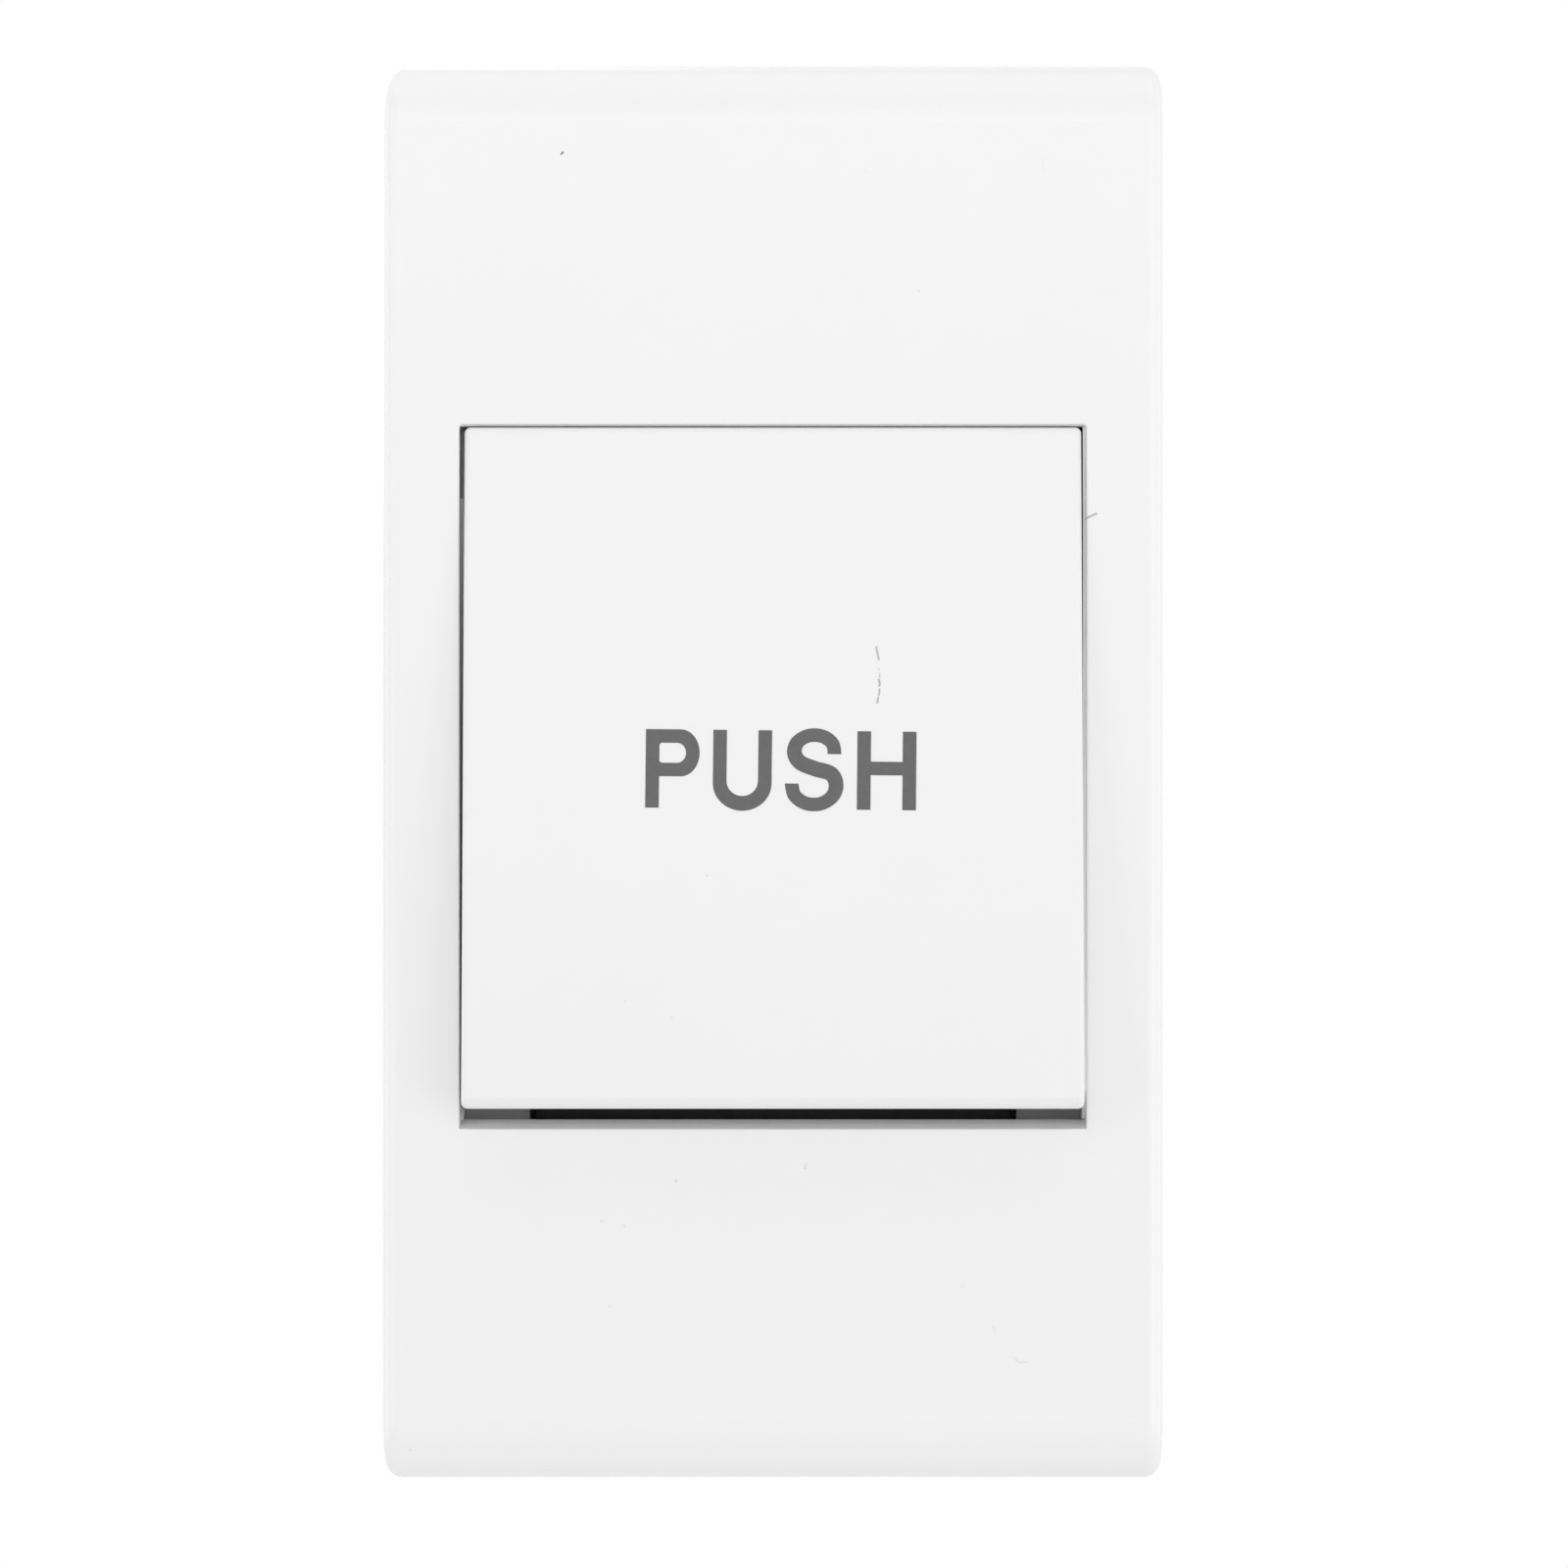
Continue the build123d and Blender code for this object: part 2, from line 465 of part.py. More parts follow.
# Mounting base: tray with a window for the switch block's terminals
with BuildPart() as mounting_base:
    with BuildSketch(front_plane(0)):
        RectangleRounded(BASE_WIDTH, BASE_HEIGHT, BASE_CORNER)
    extrude(amount=BASE_RIM_TOP)
    with BuildSketch(front_plane(BASE_FLOOR)):
        Rectangle(BASE_WIDTH - 2 * BASE_RIM, BASE_HEIGHT - 2 * BASE_RIM)
    extrude(amount=BASE_RIM_RISE, mode=Mode.SUBTRACT)
    # Ribs from the window to both ends
    with BuildSketch(front_plane(BASE_FLOOR)):
        for start, end in (
            (BLOCK_TOP, BASE_HEIGHT / 2 - BASE_RIM),
            (BASE_RIM - BASE_HEIGHT / 2, BLOCK_BOTTOM),
        ):
            with Locations((0, (start + end) / 2)):
                with GridLocations(2 * BASE_RIB_OFFSET, 0, 2, 1):
                    Rectangle(BASE_RIB_THICKNESS, end - start)
    extrude(amount=BASE_RIB_RISE)
    # Frame that carries the switch block, and the window in it
    with BuildSketch(front_plane(BASE_FLOOR)):
        with Locations((0, BLOCK_CENTRE)):
            Rectangle(BLOCK_WIDTH, BLOCK_HEIGHT)
    extrude(amount=WIRING_DEPTH - BASE_FLOOR)
    with BuildSketch(front_plane(0)):
        with Locations((0, BLOCK_CENTRE)):
            Rectangle(WINDOW_WIDTH, WINDOW_HEIGHT)
    extrude(amount=WIRING_DEPTH, mode=Mode.SUBTRACT)
    # Screw bosses in the window's upper corners, and locating pins on its lower edge
    with BuildSketch(front_plane(0)):
        with Locations((0, BLOCK_SCREW_HEIGHT)):
            with GridLocations(2 * BLOCK_SCREW_OFFSET, 0, 2, 1):
                Circle(BLOCK_BOSS_RADIUS)
    extrude(amount=WIRING_DEPTH)
    with BuildSketch(front_plane(BLOCK_SCREW_END)):
        with Locations((0, BLOCK_SCREW_HEIGHT)):
            with GridLocations(2 * BLOCK_SCREW_OFFSET, 0, 2, 1):
                Circle(BLOCK_SCREW_RADIUS + SCREW_CLEARANCE)
    extrude(amount=WIRING_DEPTH - BLOCK_SCREW_END, mode=Mode.SUBTRACT)
    with BuildSketch(front_plane(WIRING_DEPTH)):
        with Locations((0, PIN_HEIGHT)):
            with GridLocations(2 * PIN_OFFSET, 0, 2, 1):
                Circle(PIN_RADIUS)
    extrude(amount=BLOCK_SLAB)
    # Slots for the wall screws, in raised pads
    with BuildSketch(front_plane(BASE_FLOOR)):
        with GridLocations(0, WALL_SCREW_PITCH, 1, 2):
            SlotOverall(
                WALL_SLOT_LENGTH + 2 * WALL_PAD_BORDER,
                WALL_SLOT_WIDTH + 2 * WALL_PAD_BORDER,
                rotation=90,
            )
    extrude(amount=WALL_PAD_RISE)
    with BuildSketch(front_plane(0)):
        with GridLocations(0, WALL_SCREW_PITCH, 1, 2):
            SlotOverall(WALL_SLOT_LENGTH, WALL_SLOT_WIDTH, rotation=90)
    extrude(amount=BASE_FLOOR + WALL_PAD_RISE, mode=Mode.SUBTRACT)
    # Posts that stop the key at the end of its stroke
    with BuildSketch(front_plane(BASE_FLOOR)):
        with Locations((0, POST_HEIGHT)):
            with GridLocations(KEY_WIDTH - KEY_WALL, 0, 2, 1):
                Rectangle(POST_WIDTH, POST_LENGTH)
    extrude(amount=POST_TOP - BASE_FLOOR)
    # Snap hooks: stretches of the end rims, freed by slits, with a barb each
    with BuildSketch(front_plane(BASE_FLOOR)):
        with GridLocations(2 * HOOK_OFFSET, BASE_HEIGHT - BASE_RIM, 2, 2):
            with GridLocations(HOOK_WIDTH + HOOK_SLIT, 0, 2, 1):
                Rectangle(HOOK_SLIT, BASE_RIM)
    extrude(amount=BASE_RIM_RISE, mode=Mode.SUBTRACT)
    for offset in (-HOOK_OFFSET, HOOK_OFFSET):
        with BuildSketch(SIDE_PLANE.offset(offset)):
            with BuildLine():
                Polyline(
                    (BARB_REAR, BASE_HEIGHT / 2),
                    (BARB_REAR, BASE_HEIGHT / 2 + BARB_HEIGHT),
                    (BARB_FRONT, BASE_HEIGHT / 2),
                    close=True,
                )
            make_face()
            mirror(about=Plane.XZ)
        extrude(amount=HOOK_WIDTH / 2, both=True)
mounting_base.part.label = "mounting_base"
export_step(mounting_base.part, "parts/mounting_base.step")


# Switch block: slab on the base's frame with the contact chamber standing through it
with BuildPart() as switch_block:
    with BuildSketch(front_plane(WIRING_DEPTH)):
        with Locations((0, BLOCK_CENTRE)):
            RectangleRounded(BLOCK_WIDTH, BLOCK_HEIGHT, BLOCK_CORNER)
    extrude(amount=BLOCK_SLAB)
    with BuildSketch(front_plane(TOWER_REAR)):
        with Locations((0, PLUNGER_HEIGHT)):
            RectangleRounded(TOWER_WIDTH, TOWER_HEIGHT, TOWER_CORNER)
    extrude(amount=COVER_REAR - TOWER_REAR)
    with BuildSketch(front_plane(WIRING_DEPTH)):
        with Locations((0, PLUNGER_HEIGHT)):
            with GridLocations(0, 2 * COVER_SCREW_OFFSET, 1, 2):
                Circle(COVER_BOSS_RADIUS)
    extrude(amount=COVER_REAR - WIRING_DEPTH)
    with BuildSketch(front_plane(CHAMBER_FLOOR)):
        with Locations((0, PLUNGER_HEIGHT)):
            Rectangle(CHAMBER_WIDTH, CHAMBER_HEIGHT)
    extrude(amount=COVER_REAR - CHAMBER_FLOOR, mode=Mode.SUBTRACT)
    # Pads under the contacts, and the slots that the strips leave by
    with BuildSketch(front_plane(CHAMBER_FLOOR)):
        with Locations((0, PLUNGER_HEIGHT)):
            with GridLocations(CHAMBER_WIDTH - CHAMBER_PAD, 0, 2, 1):
                Rectangle(CHAMBER_PAD, STRIP_WIDTH)
    extrude(amount=STRIP_REAR - CHAMBER_FLOOR)
    with BuildSketch(front_plane(STRIP_REAR)):
        with Locations((0, PLUNGER_HEIGHT)):
            Rectangle(TOWER_WIDTH, STRIP_WIDTH + 2 * STRIP_CLEARANCE)
    extrude(amount=STRIP_THICKNESS, mode=Mode.SUBTRACT)
    # Barriers above the terminals
    barrier_length = TERMINAL_ROOM - BARRIER_GAP
    with BuildSketch(front_plane(WIRING_DEPTH - BARRIER_DEPTH)):
        with Locations((0, PLUNGER_HEIGHT + BARRIER_RISE)):
            with GridLocations(TOWER_WIDTH + barrier_length, 0, 2, 1):
                Rectangle(barrier_length, BARRIER_THICKNESS)
    extrude(amount=BARRIER_DEPTH)
    # Holes for the plunger's pilot, the screws and the locating pins
    with BuildSketch(front_plane(TOWER_REAR)):
        with Locations((0, PLUNGER_HEIGHT)):
            Circle(PILOT_RADIUS + RUN_CLEARANCE)
    extrude(amount=TOWER_FLOOR, mode=Mode.SUBTRACT)
    with BuildSketch(front_plane(WIRING_DEPTH)):
        with Locations((0, PLUNGER_HEIGHT)):
            with GridLocations(2 * TERMINAL_OFFSET, 0, 2, 1):
                Circle(TERMINAL_HOLE_RADIUS)
        with Locations((0, BLOCK_SCREW_HEIGHT)):
            with GridLocations(2 * BLOCK_SCREW_OFFSET, 0, 2, 1):
                Circle(BLOCK_SCREW_RADIUS + SCREW_CLEARANCE)
        with Locations((0, PIN_HEIGHT)):
            with GridLocations(2 * PIN_OFFSET, 0, 2, 1):
                Circle(PIN_RADIUS + PIN_CLEARANCE)
    extrude(amount=BLOCK_SLAB, mode=Mode.SUBTRACT)
    with BuildSketch(front_plane(COVER_FRONT - COVER_SCREW_LENGTH)):
        with Locations((0, PLUNGER_HEIGHT)):
            with GridLocations(0, 2 * COVER_SCREW_OFFSET, 1, 2):
                Circle(COVER_SCREW_RADIUS + SCREW_CLEARANCE)
    extrude(amount=COVER_SCREW_LENGTH - COVER_THICKNESS, mode=Mode.SUBTRACT)
switch_block.part.label = "switch_block"
export_step(switch_block.part, "parts/switch_block.step")


# Cover of the contact chamber, with the plunger's guide hole and two sunk screw holes
with BuildPart() as block_cover:
    with BuildSketch(front_plane(COVER_REAR)):
        with Locations((0, PLUNGER_HEIGHT)):
            RectangleRounded(TOWER_WIDTH, TOWER_HEIGHT, TOWER_CORNER)
            with GridLocations(0, 2 * COVER_SCREW_OFFSET, 1, 2):
                Circle(COVER_BOSS_RADIUS)
            Circle(STEM_RADIUS + RUN_CLEARANCE, mode=Mode.SUBTRACT)
    extrude(amount=COVER_THICKNESS)
    with Locations(front_plane(COVER_FRONT)):
        with Locations((0, PLUNGER_HEIGHT)):
            with GridLocations(0, 2 * COVER_SCREW_OFFSET, 1, 2):
                CounterSinkHole(
                    COVER_SCREW_RADIUS + SCREW_CLEARANCE,
                    COVER_HEAD_RADIUS + SCREW_CLEARANCE,
                    counter_sink_angle=90,
                )
block_cover.part.label = "block_cover"
export_step(block_cover.part, "parts/block_cover.step")


# Plunger: turned profile from the pilot at the back to the domed head
with BuildPart() as plunger:
    with BuildSketch(PLUNGER_PLANE):
        with BuildLine():
            outline = Polyline(
                (PILOT_END, 0),
                (PILOT_END, PILOT_RADIUS - PILOT_CHAMFER),
                (PILOT_END + PILOT_CHAMFER, PILOT_RADIUS),
                (CLIP_REAR, PILOT_RADIUS),
                (CLIP_REAR, GROOVE_RADIUS),
                (BRIDGE_REAR, GROOVE_RADIUS),
                (BRIDGE_REAR, PILOT_RADIUS),
                (FLANGE_REAR, PILOT_RADIUS),
                (FLANGE_REAR, FLANGE_RADIUS),
                (FLANGE_FRONT, FLANGE_RADIUS),
                (FLANGE_FRONT, STEM_RADIUS),
                (HEAD_SHOULDER, STEM_RADIUS),
            )
            RadiusArc(outline @ 1, (HEAD_DEPTH, 0), HEAD_DOME)
            Line((HEAD_DEPTH, 0), (PILOT_END, 0))
        make_face()
    revolve(axis=PLUNGER_AXIS)
plunger.part.label = "plunger"
export_step(plunger.part, "parts/plunger.step")


# Contact bridge: strip across the plunger with a hole for each rivet
with BuildPart() as contact_bridge:
    with BuildSketch(front_plane(BRIDGE_REAR)):
        with Locations((0, PLUNGER_HEIGHT)):
            RectangleRounded(BRIDGE_LENGTH, BRIDGE_WIDTH, BRIDGE_CORNER)
            Circle(PILOT_RADIUS + BRIDGE_CLEARANCE, mode=Mode.SUBTRACT)
            with GridLocations(2 * CONTACT_OFFSET, 0, 2, 1):
                Circle(RIVET_RADIUS + RIVET_CLEARANCE, mode=Mode.SUBTRACT)
    extrude(amount=BRIDGE_THICKNESS)
contact_bridge.part.label = "contact_bridge"
export_step(contact_bridge.part, "parts/contact_bridge.step")


# Open ring that snaps into the plunger's groove behind the bridge
with BuildPart() as retaining_clip:
    with BuildSketch(front_plane(CLIP_REAR)):
        with Locations((0, PLUNGER_HEIGHT)):
            Circle(CLIP_RADIUS)
            Circle(GROOVE_RADIUS + GROOVE_CLEARANCE, mode=Mode.SUBTRACT)
            Rectangle(
                CLIP_RADIUS, CLIP_MOUTH, align=(Align.MIN, Align.CENTER), mode=Mode.SUBTRACT
            )
    extrude(amount=CLIP_THICKNESS)
retaining_clip.part.label = "retaining_clip"
export_step(retaining_clip.part, "parts/retaining_clip.step")


# Return spring between the chamber's floor and the clip
with BuildPart() as return_spring:
    with BuildLine() as return_coil:
        Helix(
            RETURN_PITCH,
            CLIP_REAR - CHAMBER_FLOOR - 2 * RETURN_WIRE,
            RETURN_RADIUS,
            center=(0, -(CHAMBER_FLOOR + RETURN_WIRE), PLUNGER_HEIGHT),
            direction=(0, -1, 0),
        )
    with BuildSketch(return_coil.line ^ 0):
        RegularPolygon(RETURN_WIRE, WIRE_SIDES)
    sweep(is_frenet=True)
return_spring.part.label = "return_spring"
export_step(return_spring.part, "parts/return_spring.step")


# Contact spring between the bridge and the plunger's flange
with BuildPart() as contact_spring:
    with BuildLine() as contact_coil:
        Helix(
            CONTACT_PITCH,
            FLANGE_REAR - BRIDGE_FRONT - 2 * CONTACT_WIRE,
            CONTACT_SPRING_RADIUS,
            center=(0, -(BRIDGE_FRONT + CONTACT_WIRE), PLUNGER_HEIGHT),
            direction=(0, -1, 0),
        )
    with BuildSketch(contact_coil.line ^ 0):
        RegularPolygon(CONTACT_WIRE, WIRE_SIDES)
    sweep(is_frenet=True)
contact_spring.part.label = "contact_spring"
export_step(contact_spring.part, "parts/contact_spring.step")


# Pieces that come once on each side of the plunger
for side, name in ((-1, "left"), (1, "right")):
    # Terminal strip, from the contact to the terminal screw
    with BuildPart() as terminal:
        with BuildSketch(front_plane(STRIP_REAR)):
            with Locations((side * STRIP_CENTRE, PLUNGER_HEIGHT)):
                RectangleRounded(STRIP_LENGTH, STRIP_WIDTH, STRIP_CORNER)
            with Locations((side * CONTACT_OFFSET, PLUNGER_HEIGHT)):
                Circle(RIVET_RADIUS + RIVET_CLEARANCE, mode=Mode.SUBTRACT)
            with Locations((side * TERMINAL_OFFSET, PLUNGER_HEIGHT)):
                Circle(TERMINAL_SCREW_RADIUS + SCREW_CLEARANCE, mode=Mode.SUBTRACT)
        extrude(amount=STRIP_THICKNESS)
    terminal.part.label = f"terminal_{name}"
    export_step(terminal.part, f"parts/terminal_{name}.step")

    # Contact rivet on the strip
    with BuildPart() as fixed_contact:
        with BuildSketch(front_plane(STRIP_REAR)):
            with Locations((side * CONTACT_OFFSET, PLUNGER_HEIGHT)):
                Circle(RIVET_RADIUS)
        extrude(amount=STRIP_THICKNESS)
        with BuildSketch(front_plane(WIRING_DEPTH)):
            with Locations((side * CONTACT_OFFSET, PLUNGER_HEIGHT)):
                Circle(CONTACT_RADIUS)
        extrude(amount=CONTACT_HEIGHT)
        chamfer(fixed_contact.faces().sort_by(Axis.Y)[0].edges(), CONTACT_EDGE)
    fixed_contact.part.label = f"fixed_contact_{name}"
    export_step(fixed_contact.part, f"parts/fixed_contact_{name}.step")

    # Contact rivet on the bridge, facing the one on the strip
    with BuildPart() as moving_contact:
        with BuildSketch(front_plane(BRIDGE_REAR)):
            with Locations((side * CONTACT_OFFSET, PLUNGER_HEIGHT)):
                Circle(RIVET_RADIUS)
        extrude(amount=BRIDGE_THICKNESS)
        with BuildSketch(front_plane(BRIDGE_REAR - CONTACT_HEIGHT)):
            with Locations((side * CONTACT_OFFSET, PLUNGER_HEIGHT)):
                Circle(CONTACT_RADIUS)
        extrude(amount=CONTACT_HEIGHT)
        chamfer(moving_contact.faces().sort_by(Axis.Y)[-1].edges(), CONTACT_EDGE)
    moving_contact.part.label = f"moving_contact_{name}"
    export_step(moving_contact.part, f"parts/moving_contact_{name}.step")

    # Clamp plate with two lips that straddle the strip
    with BuildPart() as wire_clamp:
        with BuildSketch(front_plane(CLAMP_REAR)):
            with Locations((side * TERMINAL_OFFSET, PLUNGER_HEIGHT)):
                Rectangle(CLAMP_LENGTH, STRIP_WIDTH + 2 * (CLAMP_CLEARANCE + CLAMP_THICKNESS))
                Circle(TERMINAL_SCREW_RADIUS + SCREW_CLEARANCE, mode=Mode.SUBTRACT)
        extrude(amount=CLAMP_THICKNESS)
        with BuildSketch(front_plane(STRIP_REAR)):
            with Locations((side * TERMINAL_OFFSET, PLUNGER_HEIGHT)):
                with GridLocations(0, STRIP_WIDTH + 2 * CLAMP_CLEARANCE + CLAMP_THICKNESS, 1, 2):
                    Rectangle(CLAMP_LENGTH, CLAMP_THICKNESS)
        extrude(amount=CLAMP_LIP)
    wire_clamp.part.label = f"wire_clamp_{name}"
    export_step(wire_clamp.part, f"parts/wire_clamp_{name}.step")


# Terminal screws, driven from behind
with BuildPart() as terminal_screws:
    with BuildSketch(front_plane(CLAMP_REAR - TERMINAL_HEAD_HEIGHT)):
        with Locations((0, PLUNGER_HEIGHT)):
            with GridLocations(2 * TERMINAL_OFFSET, 0, 2, 1):
                Circle(TERMINAL_HEAD_RADIUS)
    extrude(amount=TERMINAL_HEAD_HEIGHT)
    chamfer(terminal_screws.edges().group_by(Axis.Y)[-1], TERMINAL_HEAD_EDGE)
    with BuildSketch(front_plane(CLAMP_REAR)):
        with Locations((0, PLUNGER_HEIGHT)):
            with GridLocations(2 * TERMINAL_OFFSET, 0, 2, 1):
                Circle(TERMINAL_SCREW_RADIUS)
    extrude(amount=BLOCK_FRONT - TERMINAL_SCREW_SHORT - CLAMP_REAR)
terminal_screws.part.label = "terminal_screws"
export_step(terminal_screws.part, "parts/terminal_screws.step")


# Screws that hold the switch block on the base
with BuildPart() as block_screws:
    with BuildSketch(front_plane(BLOCK_FRONT)):
        with Locations((0, BLOCK_SCREW_HEIGHT)):
            with GridLocations(2 * BLOCK_SCREW_OFFSET, 0, 2, 1):
                Circle(BLOCK_HEAD_RADIUS)
    extrude(amount=BLOCK_HEAD_HEIGHT)
    chamfer(block_screws.edges().group_by(Axis.Y)[0], BLOCK_HEAD_EDGE)
    with BuildSketch(front_plane(BLOCK_SCREW_END)):
        with Locations((0, BLOCK_SCREW_HEIGHT)):
            with GridLocations(2 * BLOCK_SCREW_OFFSET, 0, 2, 1):
                Circle(BLOCK_SCREW_RADIUS)
    extrude(amount=BLOCK_FRONT - BLOCK_SCREW_END)
block_screws.part.label = "block_screws"
export_step(block_screws.part, "parts/block_screws.step")


# Sunk screws that hold the cover on the switch block
with BuildPart() as cover_screws:
    with BuildSketch(front_plane(COVER_FRONT - COVER_SCREW_LENGTH)):
        with Locations((0, PLUNGER_HEIGHT)):
            with GridLocations(0, 2 * COVER_SCREW_OFFSET, 1, 2):
                Circle(COVER_SCREW_RADIUS)
    extrude(amount=COVER_SCREW_LENGTH)
    with Locations(front_plane(COVER_FRONT - COVER_HEAD_HEIGHT)):
        with Locations((0, PLUNGER_HEIGHT)):
            with GridLocations(0, 2 * COVER_SCREW_OFFSET, 1, 2):
                Cone(
                    COVER_SCREW_RADIUS,
                    COVER_HEAD_RADIUS,
                    COVER_HEAD_HEIGHT,
                    align=(Align.CENTER, Align.CENTER, Align.MIN),
                )
cover_screws.part.label = "cover_screws"
export_step(cover_screws.part, "parts/cover_screws.step")
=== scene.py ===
"""Exit push button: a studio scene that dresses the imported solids.

This script gives each solid a finish, prints the legend on the key, adds the ledges round the
key's opening, and makes the screws and springs anew in full detail. The other solids keep their
shape and place. Sizes are in millimetres unless a docstring says otherwise, and every mesh is
brought to metres when it is placed.
"""

import logging
import math
from dataclasses import dataclass
from enum import Enum
from typing import Any, Callable, Sequence

import bmesh
import bpy
from bpy.types import ID, Material, Mesh, Node, NodeSocket, NodeTree, Object
from mathutils import Matrix, Vector


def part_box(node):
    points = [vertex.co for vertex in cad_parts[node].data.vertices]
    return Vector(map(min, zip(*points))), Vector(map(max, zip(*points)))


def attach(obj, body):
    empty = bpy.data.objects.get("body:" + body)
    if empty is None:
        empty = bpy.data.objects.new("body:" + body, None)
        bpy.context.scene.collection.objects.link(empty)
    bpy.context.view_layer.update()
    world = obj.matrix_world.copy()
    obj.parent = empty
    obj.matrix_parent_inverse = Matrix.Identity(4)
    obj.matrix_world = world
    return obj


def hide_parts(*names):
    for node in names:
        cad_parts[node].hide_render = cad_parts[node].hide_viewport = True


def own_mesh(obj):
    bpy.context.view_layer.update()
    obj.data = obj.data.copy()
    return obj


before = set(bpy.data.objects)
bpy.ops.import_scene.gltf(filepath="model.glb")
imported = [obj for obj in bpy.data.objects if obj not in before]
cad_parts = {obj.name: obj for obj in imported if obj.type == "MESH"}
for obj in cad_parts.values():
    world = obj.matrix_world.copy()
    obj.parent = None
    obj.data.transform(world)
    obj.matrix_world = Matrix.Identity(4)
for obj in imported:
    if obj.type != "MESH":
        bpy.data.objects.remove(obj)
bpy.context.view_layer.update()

LOG = logging.getLogger("exit_button")

MM = 0.001
TURN = 2 * math.pi

# A Mix node's colour sockets go by number, because their names repeat.
MIX_SHARE, MIX_FIRST, MIX_SECOND, MIX_RESULT = 0, 6, 7, 2
# Noise varies about this value.
NOISE_MIDDLE = 0.5
# Further than any place on the object is from another.
FAR_AWAY = 1e3
# Points closer than this are one point.
WELD_REACH = 1e-4
# Faces that meet at a larger angle keep a sharp edge.
SHARP_ANGLE = math.radians(32.0)
# A face looks to the front where the y part of its normal is less than this.
FRONT_LIMIT = -0.9

COIL_POINTS_PER_TURN = 40.0
WIRE_SIDES = 16
SCREW_SIDES = 40
SCREWS_PER_ROW = 2
HEAD_RINGS = 18
RINGS_PER_PITCH = 10.0
# Shares of the head's height, of the shaft's radius and of the thread's pitch.
SHAFT_IN_HEAD = 0.4
TIP_TAPER = 0.35
THREAD_DEPTH = 0.5

Point = tuple[float, float]
Place = tuple[float, float, float]
Colour = tuple[float, float, float]


class Body(str, Enum):
    """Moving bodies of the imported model."""

    CASE = "case"
    KEY = "key"
    PLUNGER = "plunger"


class Slot(str, Enum):
    """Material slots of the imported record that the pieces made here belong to."""

    PLATE = "plate_white"
    SPRING = "spring_steel"
    SCREW = "screw_steel"


class Direction(Enum):
    """Directions in the frame, as seen from the front."""

    LEFT = (-1.0, 0.0, 0.0)
    RIGHT = (1.0, 0.0, 0.0)
    UP = (0.0, 0.0, 1.0)
    FRONT = (0.0, -1.0, 0.0)
    REAR = (0.0, 1.0, 0.0)

    @property
    def vector(self) -> Vector:
        """The direction as a vector."""
        return Vector(self.value)


def arithmetic(operation: str, swapped: bool = False) -> Callable[["Value", "Number"], "Value"]:
    """Make a method of Value that adds a Math node.

    Args:
        operation: What the node does with the value and another number.
        swapped: Whether the other number comes first.

    Returns:
        The method.
    """

    def method(value: "Value", other: "Number") -> "Value":
        """The operation's result on two numbers."""
        return value.graph.math(operation, *((other, value) if swapped else (value, other)))

    return method


class Value:
    """A number socket in a node tree, with arithmetic that adds Math nodes.

    low and high give the smaller and the larger of two numbers.
    """

    __add__ = __radd__ = arithmetic("ADD")
    __sub__ = arithmetic("SUBTRACT")
    __rsub__ = arithmetic("SUBTRACT", swapped=True)
    __mul__ = __rmul__ = arithmetic("MULTIPLY")
    __truediv__ = arithmetic("DIVIDE")
    __rtruediv__ = arithmetic("DIVIDE", swapped=True)
    low = arithmetic("MINIMUM")
    high = arithmetic("MAXIMUM")

    def __init__(self, graph: "Graph", socket: NodeSocket) -> None:
        """Keep the socket and the graph that it belongs to."""
        self.graph = graph
        self.socket = socket

    def __neg__(self) -> "Value":
        """This number with its sign changed."""
        return self * -1.0

    def ramp(self, start: float, end: float) -> "Value":
        """Ease from 0 at start to 1 at end, which may be the smaller one.

        Args:
            start: Value that gives 0.
            end: Value that gives 1.

        Returns:
            The eased share, held at 0 and 1 outside the two values.
        """
        settings = {"interpolation_type": "SMOOTHSTEP"}
        sockets = {"Value": self, "From Min": start, "From Max": end, "To Min": 0.0, "To Max": 1.0}
        return Value(self.graph, self.graph.node("ShaderNodeMapRange", settings, sockets).outputs[0])


Number = Value | float


